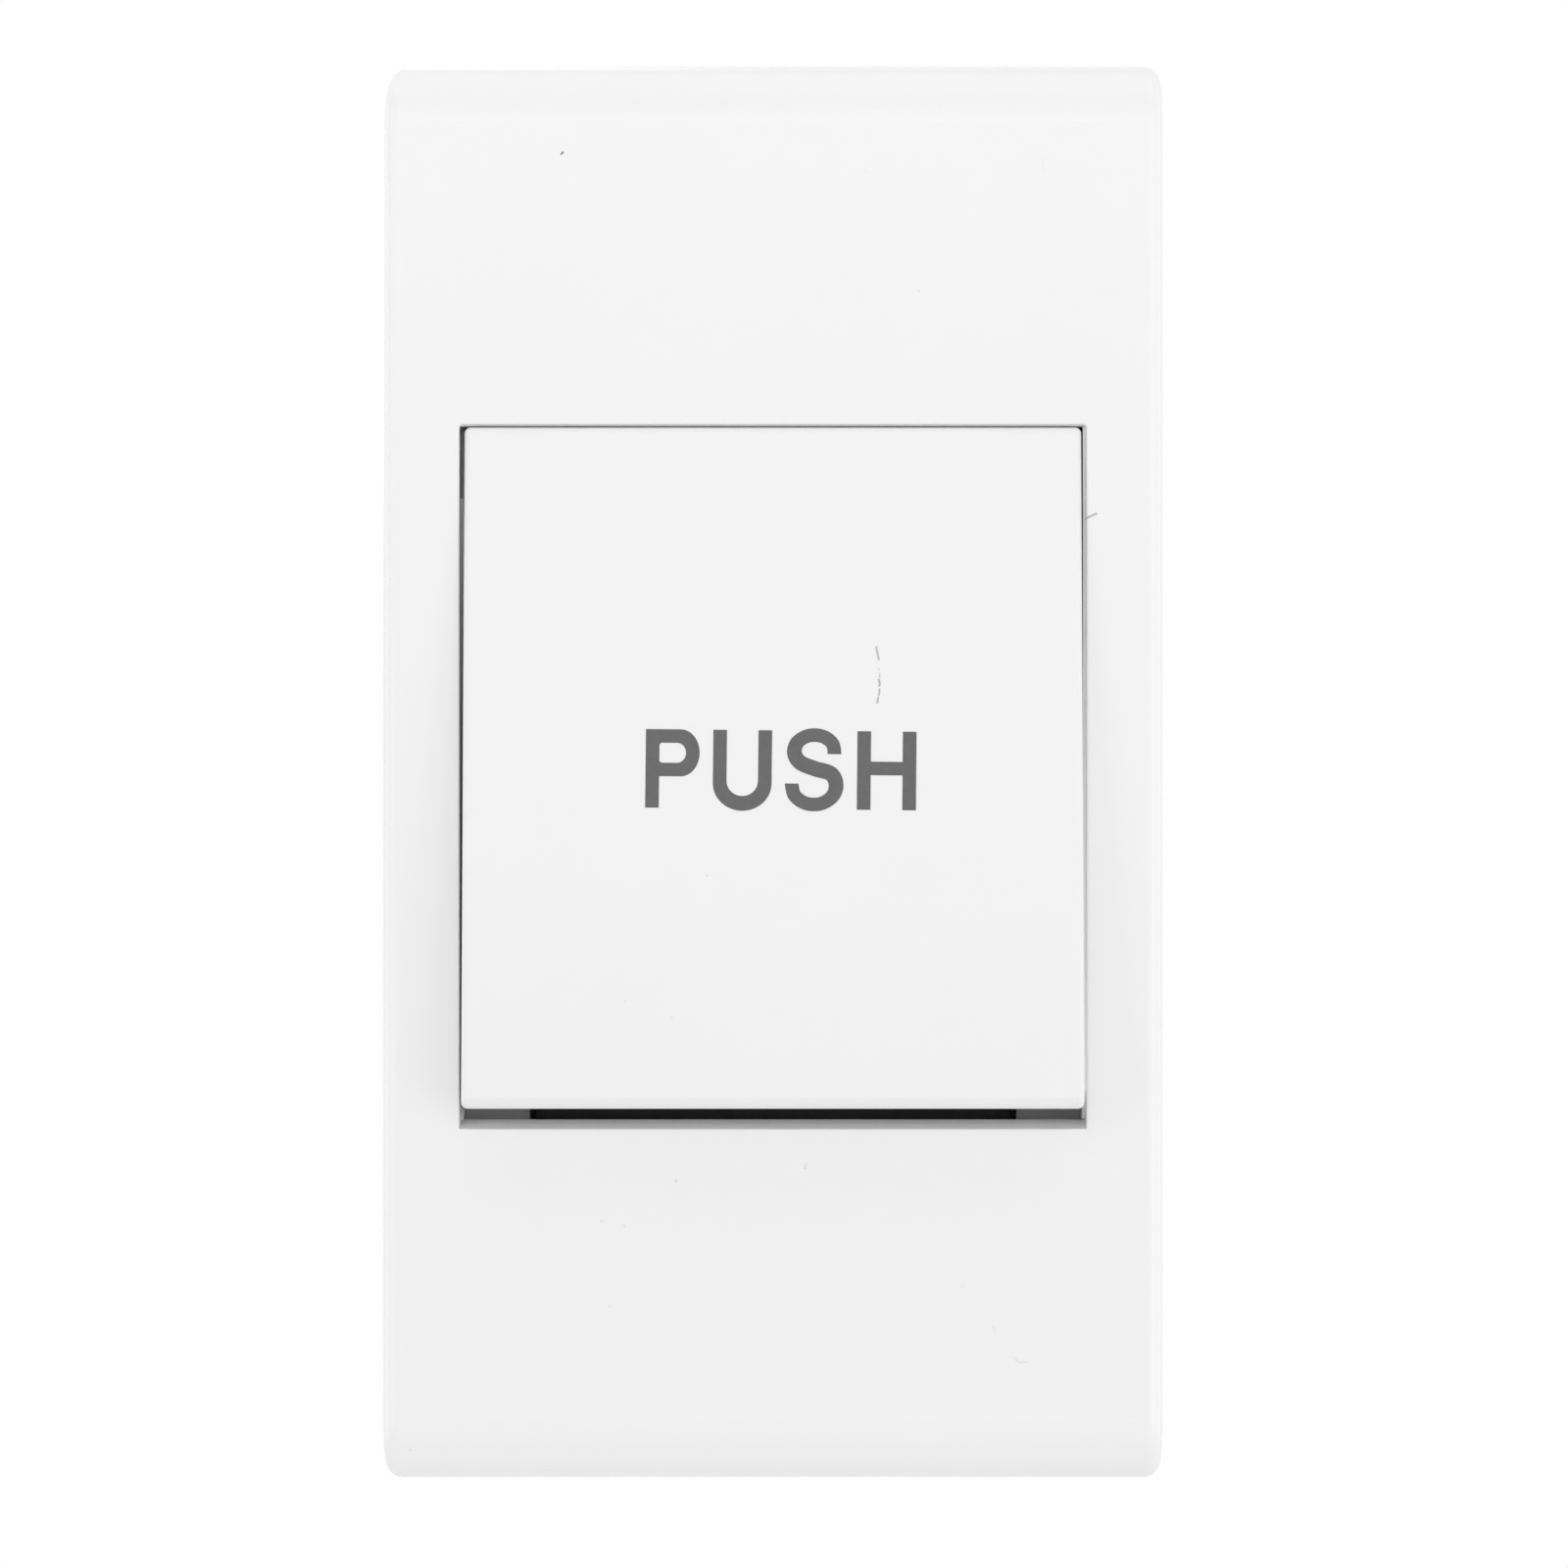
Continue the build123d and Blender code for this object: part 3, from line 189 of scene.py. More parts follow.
class Graph:
    """A node tree with one way to add any node."""

    def __init__(self, tree: NodeTree) -> None:
        """Empty the tree and keep it."""
        self.tree = tree
        self.tree.nodes.clear()

    def plug(self, socket: NodeSocket, value: Any) -> None:
        """Feed an input of a node.

        Args:
            socket: The input.
            value: A Value, a socket or a node's first output to link to it, or a plain value.
        """
        if isinstance(value, Value):
            value = value.socket
        elif isinstance(value, Node):
            value = value.outputs[0]
        if isinstance(value, NodeSocket):
            self.tree.links.new(value, socket)
        else:
            socket.default_value = value

    def node(
        self,
        kind: str,
        settings: dict[str, Any] | None = None,
        sockets: dict[str | int, Any] | None = None,
    ) -> Node:
        """Add a node, set it up and feed its sockets.

        Args:
            kind: The node's type.
            settings: Properties by name, set before the sockets.
            sockets: What plug takes, by the input's name or number.

        Returns:
            The new node.
        """
        made = self.tree.nodes.new(kind)
        for name, value in (settings or {}).items():
            setattr(made, name, value)
        for key, value in (sockets or {}).items():
            self.plug(made.inputs[key], value)
        return made

    def math(self, operation: str, *numbers: Number) -> Value:
        """Add a Math node on one to three numbers and return its result."""
        made = self.node("ShaderNodeMath", {"operation": operation}, dict(enumerate(numbers)))
        return Value(self, made.outputs[0])

    def vector(self, operation: str, sockets: dict[str | int, Any], output: str = "Vector") -> Any:
        """Add a Vector Math node.

        Args:
            operation: What the node does.
            sockets: Its inputs by name or number.
            output: "Vector", or "Value" for a result that is one number.

        Returns:
            The socket of a vector, or the Value of a number.
        """
        made = self.node("ShaderNodeVectorMath", {"operation": operation}, sockets)
        socket = made.outputs[output]
        return Value(self, socket) if output == "Value" else socket

    def split(self, vector: NodeSocket) -> tuple[Value, Value, Value]:
        """The three parts of a vector."""
        made = self.node("ShaderNodeSeparateXYZ", None, {0: vector})
        return tuple(Value(self, socket) for socket in made.outputs)

    def join(self, x: Number, y: Number, z: Number) -> NodeSocket:
        """A vector made of three numbers."""
        return self.node("ShaderNodeCombineXYZ", None, {0: x, 1: y, 2: z}).outputs[0]

    def blend(self, share: Number, first: Any, second: Any) -> NodeSocket:
        """Mix two colours.

        Args:
            share: 0 gives the first colour and 1 the second.
            first: Colour as four numbers or a socket.
            second: Colour as four numbers or a socket.

        Returns:
            The mixed colour's socket.
        """
        sockets = {MIX_SHARE: share, MIX_FIRST: first, MIX_SECOND: second}
        return self.node("ShaderNodeMix", {"data_type": "RGBA"}, sockets).outputs[MIX_RESULT]


class Surface(Graph):
    """The node graph of one material, around a Principled shader."""

    def __init__(self, name: str) -> None:
        """Start a material with an output, a shader and the piece's own coordinates.

        Args:
            name: The material's name.
        """
        self.material = bpy.data.materials.new(name)
        self.material.use_nodes = True
        super().__init__(self.material.node_tree)
        self.shader = self.node("ShaderNodeBsdfPrincipled")
        self.output = self.node("ShaderNodeOutputMaterial", None, {"Surface": self.shader})
        self.place = self.node("ShaderNodeTexCoord").outputs["Object"]

    def feed(self, **inputs: Any) -> None:
        """Set or link the shader's inputs, with _ for a space in their names."""
        for name, value in inputs.items():
            self.plug(self.shader.inputs[name.replace("_", " ")], value)

    def noise(self, size: float, detail: float = 2.0, stretch: Sequence[float] = (1, 1, 1)) -> Value:
        """Smooth noise over the piece, between 0 and 1.

        Args:
            size: Size of its features in millimetres.
            detail: Finer layers added to it.
            stretch: How much closer the features lie along each axis.

        Returns:
            The noise as a number.
        """
        place = self.vector("MULTIPLY", {0: self.place, 1: tuple(stretch)})
        sockets = {"Vector": place, "Scale": 1 / (size * MM), "Detail": detail}
        return Value(self, self.node("ShaderNodeTexNoise", None, sockets).outputs[0])

    def bump(self, height: Number, depth: float) -> None:
        """Raise the surface by a height from 0 to 1, where 1 is a depth in millimetres."""
        sockets = {"Height": height, "Strength": 1.0, "Distance": depth * MM}
        self.feed(Normal=self.node("ShaderNodeBump", None, sockets))


def rgba(colour: Colour, level: float = 1.0) -> tuple[float, float, float, float]:
    """A colour at a level of brightness, with full opacity."""
    return tuple(part * level for part in colour) + (1.0,)


@dataclass(frozen=True)
class Mark:
    """A speck, hair or scratch on a front face, as a line of points in millimetres.

    Each point is across and up. The strength is 1 where the mark hides the plastic, and the core
    is the share of the width that has the full strength.
    """

    points: tuple[Point, ...]
    width: float
    strength: float
    core: float = 0.25

    def mask(self, surface: Surface, flat: NodeSocket) -> Value:
        """How much of the mark is at each place.

        Args:
            surface: Graph that the nodes go in.
            flat: The place in millimetres, with its depth taken out.

        Returns:
            A number from 0 to the mark's strength.
        """
        nearest: Number = FAR_AWAY
        for (x, z), (next_x, next_z) in zip(self.points, self.points[1:]):
            along = Vector((next_x - x, 0.0, next_z - z))
            offset = surface.vector("SUBTRACT", {0: flat, 1: (x, 0.0, z)})
            scaled = tuple(along / along.length_squared)
            share = surface.vector("DOT_PRODUCT", {0: offset, 1: scaled}, "Value")
            foot = surface.vector("SCALE", {0: tuple(along), "Scale": share.high(0.0).low(1.0)})
            distance = surface.vector("DISTANCE", {0: offset, 1: foot}, "Value")
            nearest = distance.low(nearest)
        return nearest.ramp(self.width, self.core * self.width) * self.strength


@dataclass(frozen=True)
class MouldedPlastic:
    """Moulded plastic with a faint cloudiness, a fine skin and any marks on its front.

    The front face lies at a depth that changes with the height by its slope. Marks fade out
    between two depths behind it.
    """

    name: str
    colour: Colour
    roughness: float
    skin_size: float
    skin_depth: float
    detail: float = 3.0
    cloud: float = 0.007
    cloud_size: float = 14.0
    gloss_size: float = 4.0
    gloss_change: float = 0.09
    specular: float = 0.5
    marks: tuple[Mark, ...] = ()
    mark_colour: Colour = (0.16, 0.155, 0.15)
    mark_roughness: float = 0.3
    mark_depths: Point = (0.4, 0.8)
    front: float = 0.0
    front_slope: float = 0.0

    def material(self) -> Material:
        """Build the material's nodes.

        Returns:
            The finished material.
        """
        surface = Surface(self.name)
        dim, bright = rgba(self.colour, 1 - self.cloud), rgba(self.colour, 1 + self.cloud)
        colour = surface.blend(surface.noise(self.cloud_size, self.detail), dim, bright)
        rough = (surface.noise(self.gloss_size) - NOISE_MIDDLE) * self.gloss_change + self.roughness
        if self.marks:
            soiled = self.soiling(surface)
            colour = surface.blend(soiled, colour, rgba(self.mark_colour))
            rough = rough + soiled * self.mark_roughness
        surface.feed(Base_Color=colour, Roughness=rough, Specular_IOR_Level=self.specular)
        surface.bump(surface.noise(self.skin_size, self.detail), self.skin_depth)
        return surface.material

    def soiling(self, surface: Surface) -> Value:
        """How much of any mark is at each place of the front face.

        Args:
            surface: Graph that the nodes go in.

        Returns:
            A number from 0 to 1.
        """
        place = surface.vector("SCALE", {0: surface.place, "Scale": 1 / MM})
        across, depth, height = surface.split(place)
        flat = surface.join(across, 0.0, height)
        total: Number = 0.0
        for mark in self.marks:
            total = mark.mask(surface, flat).high(total)
        behind = height * self.front_slope + self.front + depth
        full, none = self.mark_depths
        return total * behind.ramp(none, full)


@dataclass(frozen=True)
class Metal:
    """Bare or plated metal with drawn or brushed streaks and a little tarnish.

    Streaks and stains add to the roughness, and their usual sum is taken off it first.
    """

    name: str
    colour: Colour
    tarnish: Colour
    roughness: float
    streak_size: float
    streak_stretch: Place = (1.0, 1.0, 1.0)
    streak_detail: float = 3.0
    streak_depth: float = 0.004
    streak_roughness: float = 0.16
    stain_size: float = 2.2
    stain_detail: float = 4.0
    stain_range: Point = (0.45, 0.8)
    stain_share: float = 0.45
    stain_roughness: float = 0.1
    usual_sum: float = 0.1

    def material(self) -> Material:
        """Build the material's nodes.

        Returns:
            The finished material.
        """
        surface = Surface(self.name)
        stained = surface.noise(self.stain_size, self.stain_detail).ramp(*self.stain_range)
        streaks = surface.noise(self.streak_size, self.streak_detail, self.streak_stretch)
        colour = surface.blend(stained * self.stain_share, rgba(self.colour), rgba(self.tarnish))
        added = streaks * self.streak_roughness + stained * self.stain_roughness
        rough = added + (self.roughness - self.usual_sum)
        surface.feed(Base_Color=colour, Metallic=1.0, Roughness=rough)
        surface.bump(streaks, self.streak_depth)
        return surface.material


@dataclass(frozen=True)
class PrintedInk:
    """Pad-printed ink with faint mottling, pinholes and a fine grain."""

    name: str
    colour: Colour
    pinhole: Colour
    roughness: float = 0.42
    mottle_size: float = 0.5
    mottle_detail: float = 3.0
    mottle_range: Point = (0.3, 0.7)
    mottle_levels: Point = (0.95, 1.05)
    pinhole_size: float = 0.22
    pinhole_detail: float = 1.0
    pinhole_range: Point = (0.8, 0.86)
    grain_size: float = 0.15
    grain_depth: float = 0.006

    def material(self) -> Material:
        """Build the material's nodes.

        Returns:
            The finished material.
        """
        surface = Surface(self.name)
        mottled = surface.noise(self.mottle_size, self.mottle_detail).ramp(*self.mottle_range)
        thin, thick = (rgba(self.colour, level) for level in self.mottle_levels)
        holes = surface.noise(self.pinhole_size, self.pinhole_detail).ramp(*self.pinhole_range)
        colour = surface.blend(holes, surface.blend(mottled, thin, thick), rgba(self.pinhole))
        surface.feed(Base_Color=colour, Roughness=self.roughness)
        surface.bump(surface.noise(self.grain_size), self.grain_depth)
        return surface.material


def dress(node: str, material: Material) -> None:
    """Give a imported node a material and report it.

    Args:
        node: The node's name.
        material: Its finish.
    """
    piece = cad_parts[node]
    if not piece.material_slots:
        piece.data.materials.append(material)
    for slot in piece.material_slots:
        slot.material = material
    LOG.info("dressed %s with %s", node, material.name)


def add_object(name: str, data: ID) -> Object:
    """Put a mesh, curve, lamp or camera in the scene.

    Args:
        name: The object's name.
        data: What it shows.

    Returns:
        The new object.
    """
    made = bpy.data.objects.new(name, data)
    bpy.context.scene.collection.objects.link(made)
    return made


def plain_mesh(holder: Object, name: str) -> Mesh:
    """Turn an object into a plain mesh, with its modifiers applied, and remove the object.

    Args:
        holder: The object, which is in the scene.
        name: The mesh's name.

    Returns:
        The mesh.
    """
    bpy.context.view_layer.update()
    evaluated = holder.evaluated_get(bpy.context.evaluated_depsgraph_get())
    mesh = bpy.data.meshes.new_from_object(evaluated)
    holder.modifiers.clear()
    bpy.data.objects.remove(holder)
    mesh.name = name
    return mesh


def make_piece(name: str, mesh: Mesh, body: Body) -> Object:
    """Put a finished mesh in the scene as a piece of the object.

    Args:
        name: The piece's name.
        mesh: Its mesh, in metres and in place.
        body: The body that it moves with.

    Returns:
        The new object.
    """
    piece = add_object(name, mesh)
    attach(piece, body.value)
    LOG.info("made %s: %d faces", name, len(mesh.polygons))
    return piece


def placing(centre: Vector, across: Vector, along: Vector) -> Matrix:
    """Matrix that brings a mesh in millimetres to its place in metres.

    Args:
        centre: Where the mesh's origin goes, in metres.
        across: Where its x axis points.
        along: Where its z axis points.

    Returns:
        The matrix, with the scale from millimetres in it.
    """
    turned = Matrix((across, along.cross(across), along)).transposed().to_4x4()
    return Matrix.Translation(centre) @ turned @ Matrix.Scale(MM, 4)


class Recipe(Graph):
    """A Geometry Nodes tree with named inputs, which makes plain meshes in millimetres."""

    def __init__(self, name: str, inputs: Sequence[str], counts: Sequence[str] = ()) -> None:
        """Start a tree.

        Args:
            name: The tree's name.
            inputs: Names of the inputs that are lengths or other numbers.
            counts: Names of the inputs that are whole numbers.
        """
        tree = bpy.data.node_groups.new(name, "GeometryNodeTree")
        super().__init__(tree)
        kinds = {"Material": "NodeSocketMaterial"}
        kinds.update({label: "NodeSocketFloat" for label in inputs})
        kinds.update({label: "NodeSocketInt" for label in counts})
        self.identifiers = {
            label: tree.interface.new_socket(label, in_out="INPUT", socket_type=kind).identifier
            for label, kind in kinds.items()
        }
        tree.interface.new_socket("Geometry", in_out="OUTPUT", socket_type="NodeSocketGeometry")
        self.source = self.node("NodeGroupInput")

    def input(self, label: str) -> Value:
        """A named input of the tree."""
        return Value(self, self.source.outputs[label])

    def close(self, geometry: Node) -> None:
        """End the tree: plain geometry, smooth faces with sharp edges, and the material.

        Args:
            geometry: The node that gives what the tree has made.
        """
        angle = Value(self, self.node("GeometryNodeInputMeshEdgeAngle").outputs[0])
        sharp = self.math("GREATER_THAN", angle, SHARP_ANGLE)
        plain = self.node("GeometryNodeRealizeInstances", None, {0: geometry})
        smooth = self.node("GeometryNodeSetShadeSmooth", {"domain": "FACE"}, {0: plain})
        creases = {0: smooth, "Selection": sharp, "Shade Smooth": False}
        edged = self.node("GeometryNodeSetShadeSmooth", {"domain": "EDGE"}, creases)
        paint = {"Geometry": edged, "Material": self.source.outputs["Material"]}
        painted = self.node("GeometryNodeSetMaterial", None, paint)
        self.node("NodeGroupOutput", None, {0: painted})

    def bake(self, name: str, values: dict[str, Any], place: Matrix) -> Mesh:
        """Run the tree once and keep the result as a plain mesh.

        Args:
            name: The mesh's name.
            values: The inputs' values by name.
            place: Matrix from millimetres to the mesh's place.

        Returns:
            The mesh, in metres and in place.
        """
        holder = add_object(name, bpy.data.meshes.new(name))
        modifier = holder.modifiers.new(name, "NODES")
        modifier.node_group = self.tree
        for label, value in values.items():
            modifier[self.identifiers[label]] = value
        mesh = plain_mesh(holder, name)
        mesh.transform(place)
        return mesh


def coil_recipe() -> Recipe:
    """Tree for a compression spring with closed ends, along z from 0 to its length.

    Returns:
        The tree.
    """
    tree = Recipe("coil_spring", ["Wire Radius", "Coil Radius", "Length", "Turns", "Closed Turns"])
    wire, turns, closed = tree.input("Wire Radius"), tree.input("Turns"), tree.input("Closed Turns")
    line = tree.node("GeometryNodeCurvePrimitiveLine")
    steps = tree.math("ROUND", turns * COIL_POINTS_PER_TURN)
    path = tree.node("GeometryNodeResampleCurve", None, {"Curve": line, "Count": steps})
    turn = Value(tree, tree.node("GeometryNodeSplineParameter").outputs["Factor"]) * turns
    free = turns - closed * 2.0
    pitch = (tree.input("Length") - wire * 2.0 - wire * closed * 4.0) / free
    rise = (turn - closed).high(0.0).low(free)
    height = wire + (turn - rise) * wire * 2.0 + rise * pitch
    radius = tree.input("Coil Radius")
    x = tree.math("COSINE", turn * TURN) * radius
    y = tree.math("SINE", turn * TURN) * radius
    places = {"Geometry": path, "Position": tree.join(x, y, height)}
    helix = tree.node("GeometryNodeSetPosition", None, places)
    round_wire = {"Resolution": WIRE_SIDES, "Radius": wire}
    section = tree.node("GeometryNodeCurvePrimitiveCircle", None, round_wire)
    sweep = {"Curve": helix, "Profile Curve": section, "Fill Caps": True}
    tree.close(tree.node("GeometryNodeCurveToMesh", None, sweep))
    return tree


def screw_recipe() -> Recipe:
    """Tree for a row of threaded screws along x, with their heads up from z = 0.

    Returns:
        The tree.
    """
    lengths = [
        "Head Radius", "Head Height", "Head Edge", "Sunk", "Shaft Radius", "Shaft Length", "Pitch",
        "Thread Depth", "Slot Length", "Cross Length", "Slot Width", "Slot Depth", "Spacing",
    ]
    tree = Recipe("screw_row", lengths, ["Seed"])
    head_radius, head_height = tree.input("Head Radius"), tree.input("Head Height")
    shaft_radius, shaft_length = tree.input("Shaft Radius"), tree.input("Shaft Length")
    pitch = tree.input("Pitch")
    union = {"operation": "UNION", "solver": "EXACT"}

    def turned(
        radius: Value,
        depth: Value,
        rings: Number,
        base: Number,
        profile: Callable[[Value, Value], Value],
    ) -> Node:
        """A cylinder whose radius is scaled by a profile.

        Args:
            radius: Its full radius.
            depth: Its length, upwards from its base.
            rings: Rings of faces along it.
            base: Height of its lower end.
            profile: Gives the scale from the place round the axis, as a share of a turn,
                and the height above the base.

        Returns:
            The node that gives the shape.
        """
        sizes = {"Vertices": SCREW_SIDES, "Side Segments": rings, "Radius": radius, "Depth": depth}
        cylinder = tree.node("GeometryNodeMeshCylinder", None, sizes)
        x, y, z = tree.split(tree.node("GeometryNodeInputPosition").outputs[0])
        z = z + depth * 0.5
        scale = profile(tree.math("ARCTAN2", y, x) / TURN, z)
        place = tree.join(x * scale, y * scale, z + base)
        return tree.node("GeometryNodeSetPosition", None, {"Geometry": cylinder, "Position": place})

    def head_profile(turn: Value, z: Value) -> Value:
        """Round the head's upper edge, and taper a sunk head to the shaft.

        Args:
            turn: Place round the axis; not used, since a head is the same all round.
            z: Height above the head's base.

        Returns:
            The scale of the head's radius.
        """
        edge = tree.input("Head Edge")
        share = ((z - head_height + edge) / edge).high(0.0).low(1.0)
        round_off = edge * (1.0 - tree.math("SQRT", 1.0 - share * share))
        taper = tree.input("Sunk") * (1.0 - shaft_radius / head_radius) * (1.0 - z / head_height)
        return 1.0 - taper - round_off / head_radius

    def thread_profile(turn: Value, z: Value) -> Value:
        """Cut a helical thread and a tapered tip into the shaft.

        Args:
            turn: Place round the axis, as a share of a turn.
            z: Height above the shaft's tip.

        Returns:
            The scale of the shaft's radius.
        """
        phase = tree.math("FRACT", z / pitch - turn)
        groove = tree.math("ABSOLUTE", phase * 2.0 - 1.0) * tree.input("Thread Depth")
        tip = (shaft_radius * TIP_TAPER - z).high(0.0)
        return 1.0 - groove.high(tip) / shaft_radius

    head = turned(head_radius, head_height, HEAD_RINGS, 0.0, head_profile)
    rings = tree.math("ROUND", shaft_length / pitch * RINGS_PER_PITCH)
    reach = shaft_length + head_height * SHAFT_IN_HEAD
    shaft = turned(shaft_radius, reach, rings, -shaft_length, thread_profile)
    blank = tree.node("GeometryNodeMeshBoolean", union, {"Mesh 2": head})
    tree.plug(blank.inputs["Mesh 2"], shaft)
    cross = tree.node("GeometryNodeMeshBoolean", union)
    width, deep = tree.input("Slot Width"), tree.input("Slot Depth")
    for size in (
        tree.join(tree.input("Slot Length"), width, deep * 2.0),
        tree.join(width, tree.input("Cross Length"), deep * 2.0),
    ):
        cube = tree.node("GeometryNodeMeshCube", None, {"Size": size})
        to_top = {0: cube, "Translation": tree.join(0.0, 0.0, head_height)}
        raised = tree.node("GeometryNodeTransform", None, to_top)
        tree.plug(cross.inputs["Mesh 2"], raised)
    difference = {"operation": "DIFFERENCE", "solver": "EXACT"}
    cut = tree.node("GeometryNodeMeshBoolean", difference, {"Mesh 1": blank, "Mesh 2": cross})
    spacing = tree.input("Spacing")
    first, offset = tree.join(spacing * -0.5, 0.0, 0.0), tree.join(spacing, 0.0, 0.0)
    line = {"Count": SCREWS_PER_ROW, "Start Location": first, "Offset": offset}
    row = tree.node("GeometryNodeMeshLine", None, line)
    angles = {0: (0.0, 0.0, 0.0), 1: (0.0, 0.0, TURN), "Seed": tree.input("Seed")}
    spin = tree.node("FunctionNodeRandomValue", {"data_type": "FLOAT_VECTOR"}, angles)
    screws = {"Points": row, "Instance": cut, "Rotation": spin}
    tree.close(tree.node("GeometryNodeInstanceOnPoints", None, screws))
    return tree


def weld(mesh: Mesh) -> None:
    """Join the points that lie in one place.

    Args:
        mesh: The mesh, in millimetres.
    """
    joined = bmesh.new()
    joined.from_mesh(mesh)
    bmesh.ops.remove_doubles(joined, verts=joined.verts, dist=WELD_REACH)
    joined.to_mesh(mesh)
    joined.free()


def smooth_line(points: Sequence[Point], steps: int) -> list[Point]:
    """A smooth line through points, as a run of cubic pieces.

    Args:
        points: The points that the line goes through.
        steps: Pieces of line between each point and the next.

    Returns:
        Points along the line.
    """
    padded = [points[0], *points, points[-1]]
    line = []
    for first, start, end, last in zip(padded, padded[1:], padded[2:], padded[3:]):
        for step in range(steps):
            t = step / steps
            line.append(tuple(
                0.5 * (
                    2 * start[axis]
                    + (end[axis] - first[axis]) * t
                    + (2 * first[axis] - 5 * start[axis] + 4 * end[axis] - last[axis]) * t**2
                    + (3 * start[axis] - first[axis] - 3 * end[axis] + last[axis]) * t**3
                )
                for axis in (0, 1)
            ))
    return line + [points[-1]]


def key_face() -> tuple[Vector, Vector]:
    """Find the key's front face.

    Returns:
        Its outward direction, and a point on it in metres.
    """
    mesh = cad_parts["push_key"].data
    fronts = [polygon for polygon in mesh.polygons if polygon.normal.y < FRONT_LIMIT]
    largest = max(fronts, key=lambda polygon: polygon.area)
    return largest.normal.copy(), mesh.vertices[largest.vertices[0]].co.copy()


@dataclass
class Legend:
    """The word printed on the key, drawn from straight strokes and arcs.

    Letters stand on a base line that starts at a place on the key's face. Each letter is a list
    of closed outlines. Sweeps are the first and last angle of an arc, in degrees.
    """

    cap_height: float = 5.01
    stroke: float = 0.865
    bar: float = 0.86
    overshoot: float = 0.145
    thickness: float = 0.04
    sink: float = 0.02
    start_across: float = -8.115
    start_up: float = -2.28
    tilt: float = math.radians(-0.6)
    p_width: float = 3.425
    p_bowl: float = 3.0
    p_bowl_reach: float = 1.2
    p_counter_reach: float = 0.57
    p_counter_corner: float = 0.19
    u_width: float = 3.735
    u_bend: float = 1.75
    u_inner_bend: float = 0.98
    u_foot: float = 0.94
    s_upper: Point = (1.87, 3.71)
    s_upper_radii: Point = (1.29, 1.03)
    s_upper_sweep: Point = (-10, 225)
    s_middle: Point = (1.88, 2.6)
    s_lower: Point = (1.84, 1.5)
    s_lower_radii: Point = (1.42, 1.2)
    s_lower_sweep: Point = (40, -186)
    s_spine: float = 0.98
    h_width: float = 3.755
    h_bar_height: float = 2.645
    u_place: float = 4.285
    s_place: float = 8.862
    h_place: float = 13.45
    arc_steps: int = 20
    s_arc_steps: int = 6
    s_line_steps: int = 10

    def arc(self, centre: Point, radii: Point, sweep: Point, steps: int = 0) -> list[Point]:
        """Points along part of an ellipse.

        Args:
            centre: The ellipse's centre.
            radii: Its half width and half height.
            sweep: First and last angle in degrees, from the right and anticlockwise.
            steps: Pieces of the arc, or 0 for the usual number.

        Returns:
            The points in order.
        """
        steps = steps or self.arc_steps
        start, end = sweep
        angles = [math.radians(start + (end - start) * step / steps) for step in range(steps + 1)]
        return [
            (centre[0] + radii[0] * math.cos(angle), centre[1] + radii[1] * math.sin(angle))
            for angle in angles
        ]

    def letter_p(self) -> list[list[Point]]:
        """Draw the P.

        Returns:
            Its outline and that of its counter.
        """
        top, low = self.cap_height, self.cap_height - self.p_bowl
        turn_x, turn_y = self.p_width - self.p_bowl_reach, self.cap_height - self.p_bowl / 2
        outer = [(0.0, 0.0), (self.stroke, 0.0), (self.stroke, low)]
        outer += self.arc((turn_x, turn_y), (self.p_bowl_reach, self.p_bowl / 2), (-90, 90))
        outer.append((0.0, top))
        inner_radii = (self.p_counter_reach, self.p_bowl / 2 - self.bar)
        inner_x = self.p_width - self.stroke - inner_radii[0]
        corner = self.p_counter_corner
        corner_x = self.stroke + corner
        inner = self.arc((corner_x, low + self.bar + corner), (corner, corner), (180, 270))
        inner += self.arc((inner_x, turn_y), inner_radii, (-90, 90))
        inner += self.arc((corner_x, top - self.bar - corner), (corner, corner), (90, 180))
        return [outer, inner]

    def letter_u(self) -> list[list[Point]]:
        """Draw the U.

        Returns:
            Its one outline.
        """
        half = self.u_width / 2
        inner_radii = (half - self.stroke, self.u_inner_bend)
        bend = self.u_bend - self.overshoot
        inner_bend = self.u_inner_bend + self.u_foot - self.overshoot
        outline = [(0.0, self.cap_height)]
        outline += self.arc((half, bend), (half, self.u_bend), (180, 360))
        outline += [(self.u_width, self.cap_height), (self.u_width - self.stroke, self.cap_height)]
        outline += self.arc((half, inner_bend), inner_radii, (360, 180))
        outline.append((self.stroke, self.cap_height))
        return [outline]

    def letter_s(self) -> list[list[Point]]:
        """Draw the S, as a stroke along two arcs that swells on the line between them.

        Returns:
            Its one outline.
        """
        upper = self.arc(self.s_upper, self.s_upper_radii, self.s_upper_sweep, self.s_arc_steps)
        lower = self.arc(self.s_lower, self.s_lower_radii, self.s_lower_sweep, self.s_arc_steps)
        line = smooth_line([*upper, self.s_middle, *lower], self.s_line_steps)
        last = len(line) - 1
        sides: list[list[Point]] = [[], []]
        for index, (x, y) in enumerate(line):
            if index in (0, last):
                along = Vector((0.0, 1.0))
            else:
                before, after = line[index - 1], line[index + 1]
                along = Vector((after[0] - before[0], after[1] - before[1])).normalized()
            swell = max(0.0, -math.cos(TURN * index / last))
            half = (self.stroke + (self.s_spine - self.stroke) * swell) / 2
            for side, sign in zip(sides, (half, -half)):
                side.append((x - sign * along.y, y + sign * along.x))
        return [sides[0] + sides[1][::-1]]

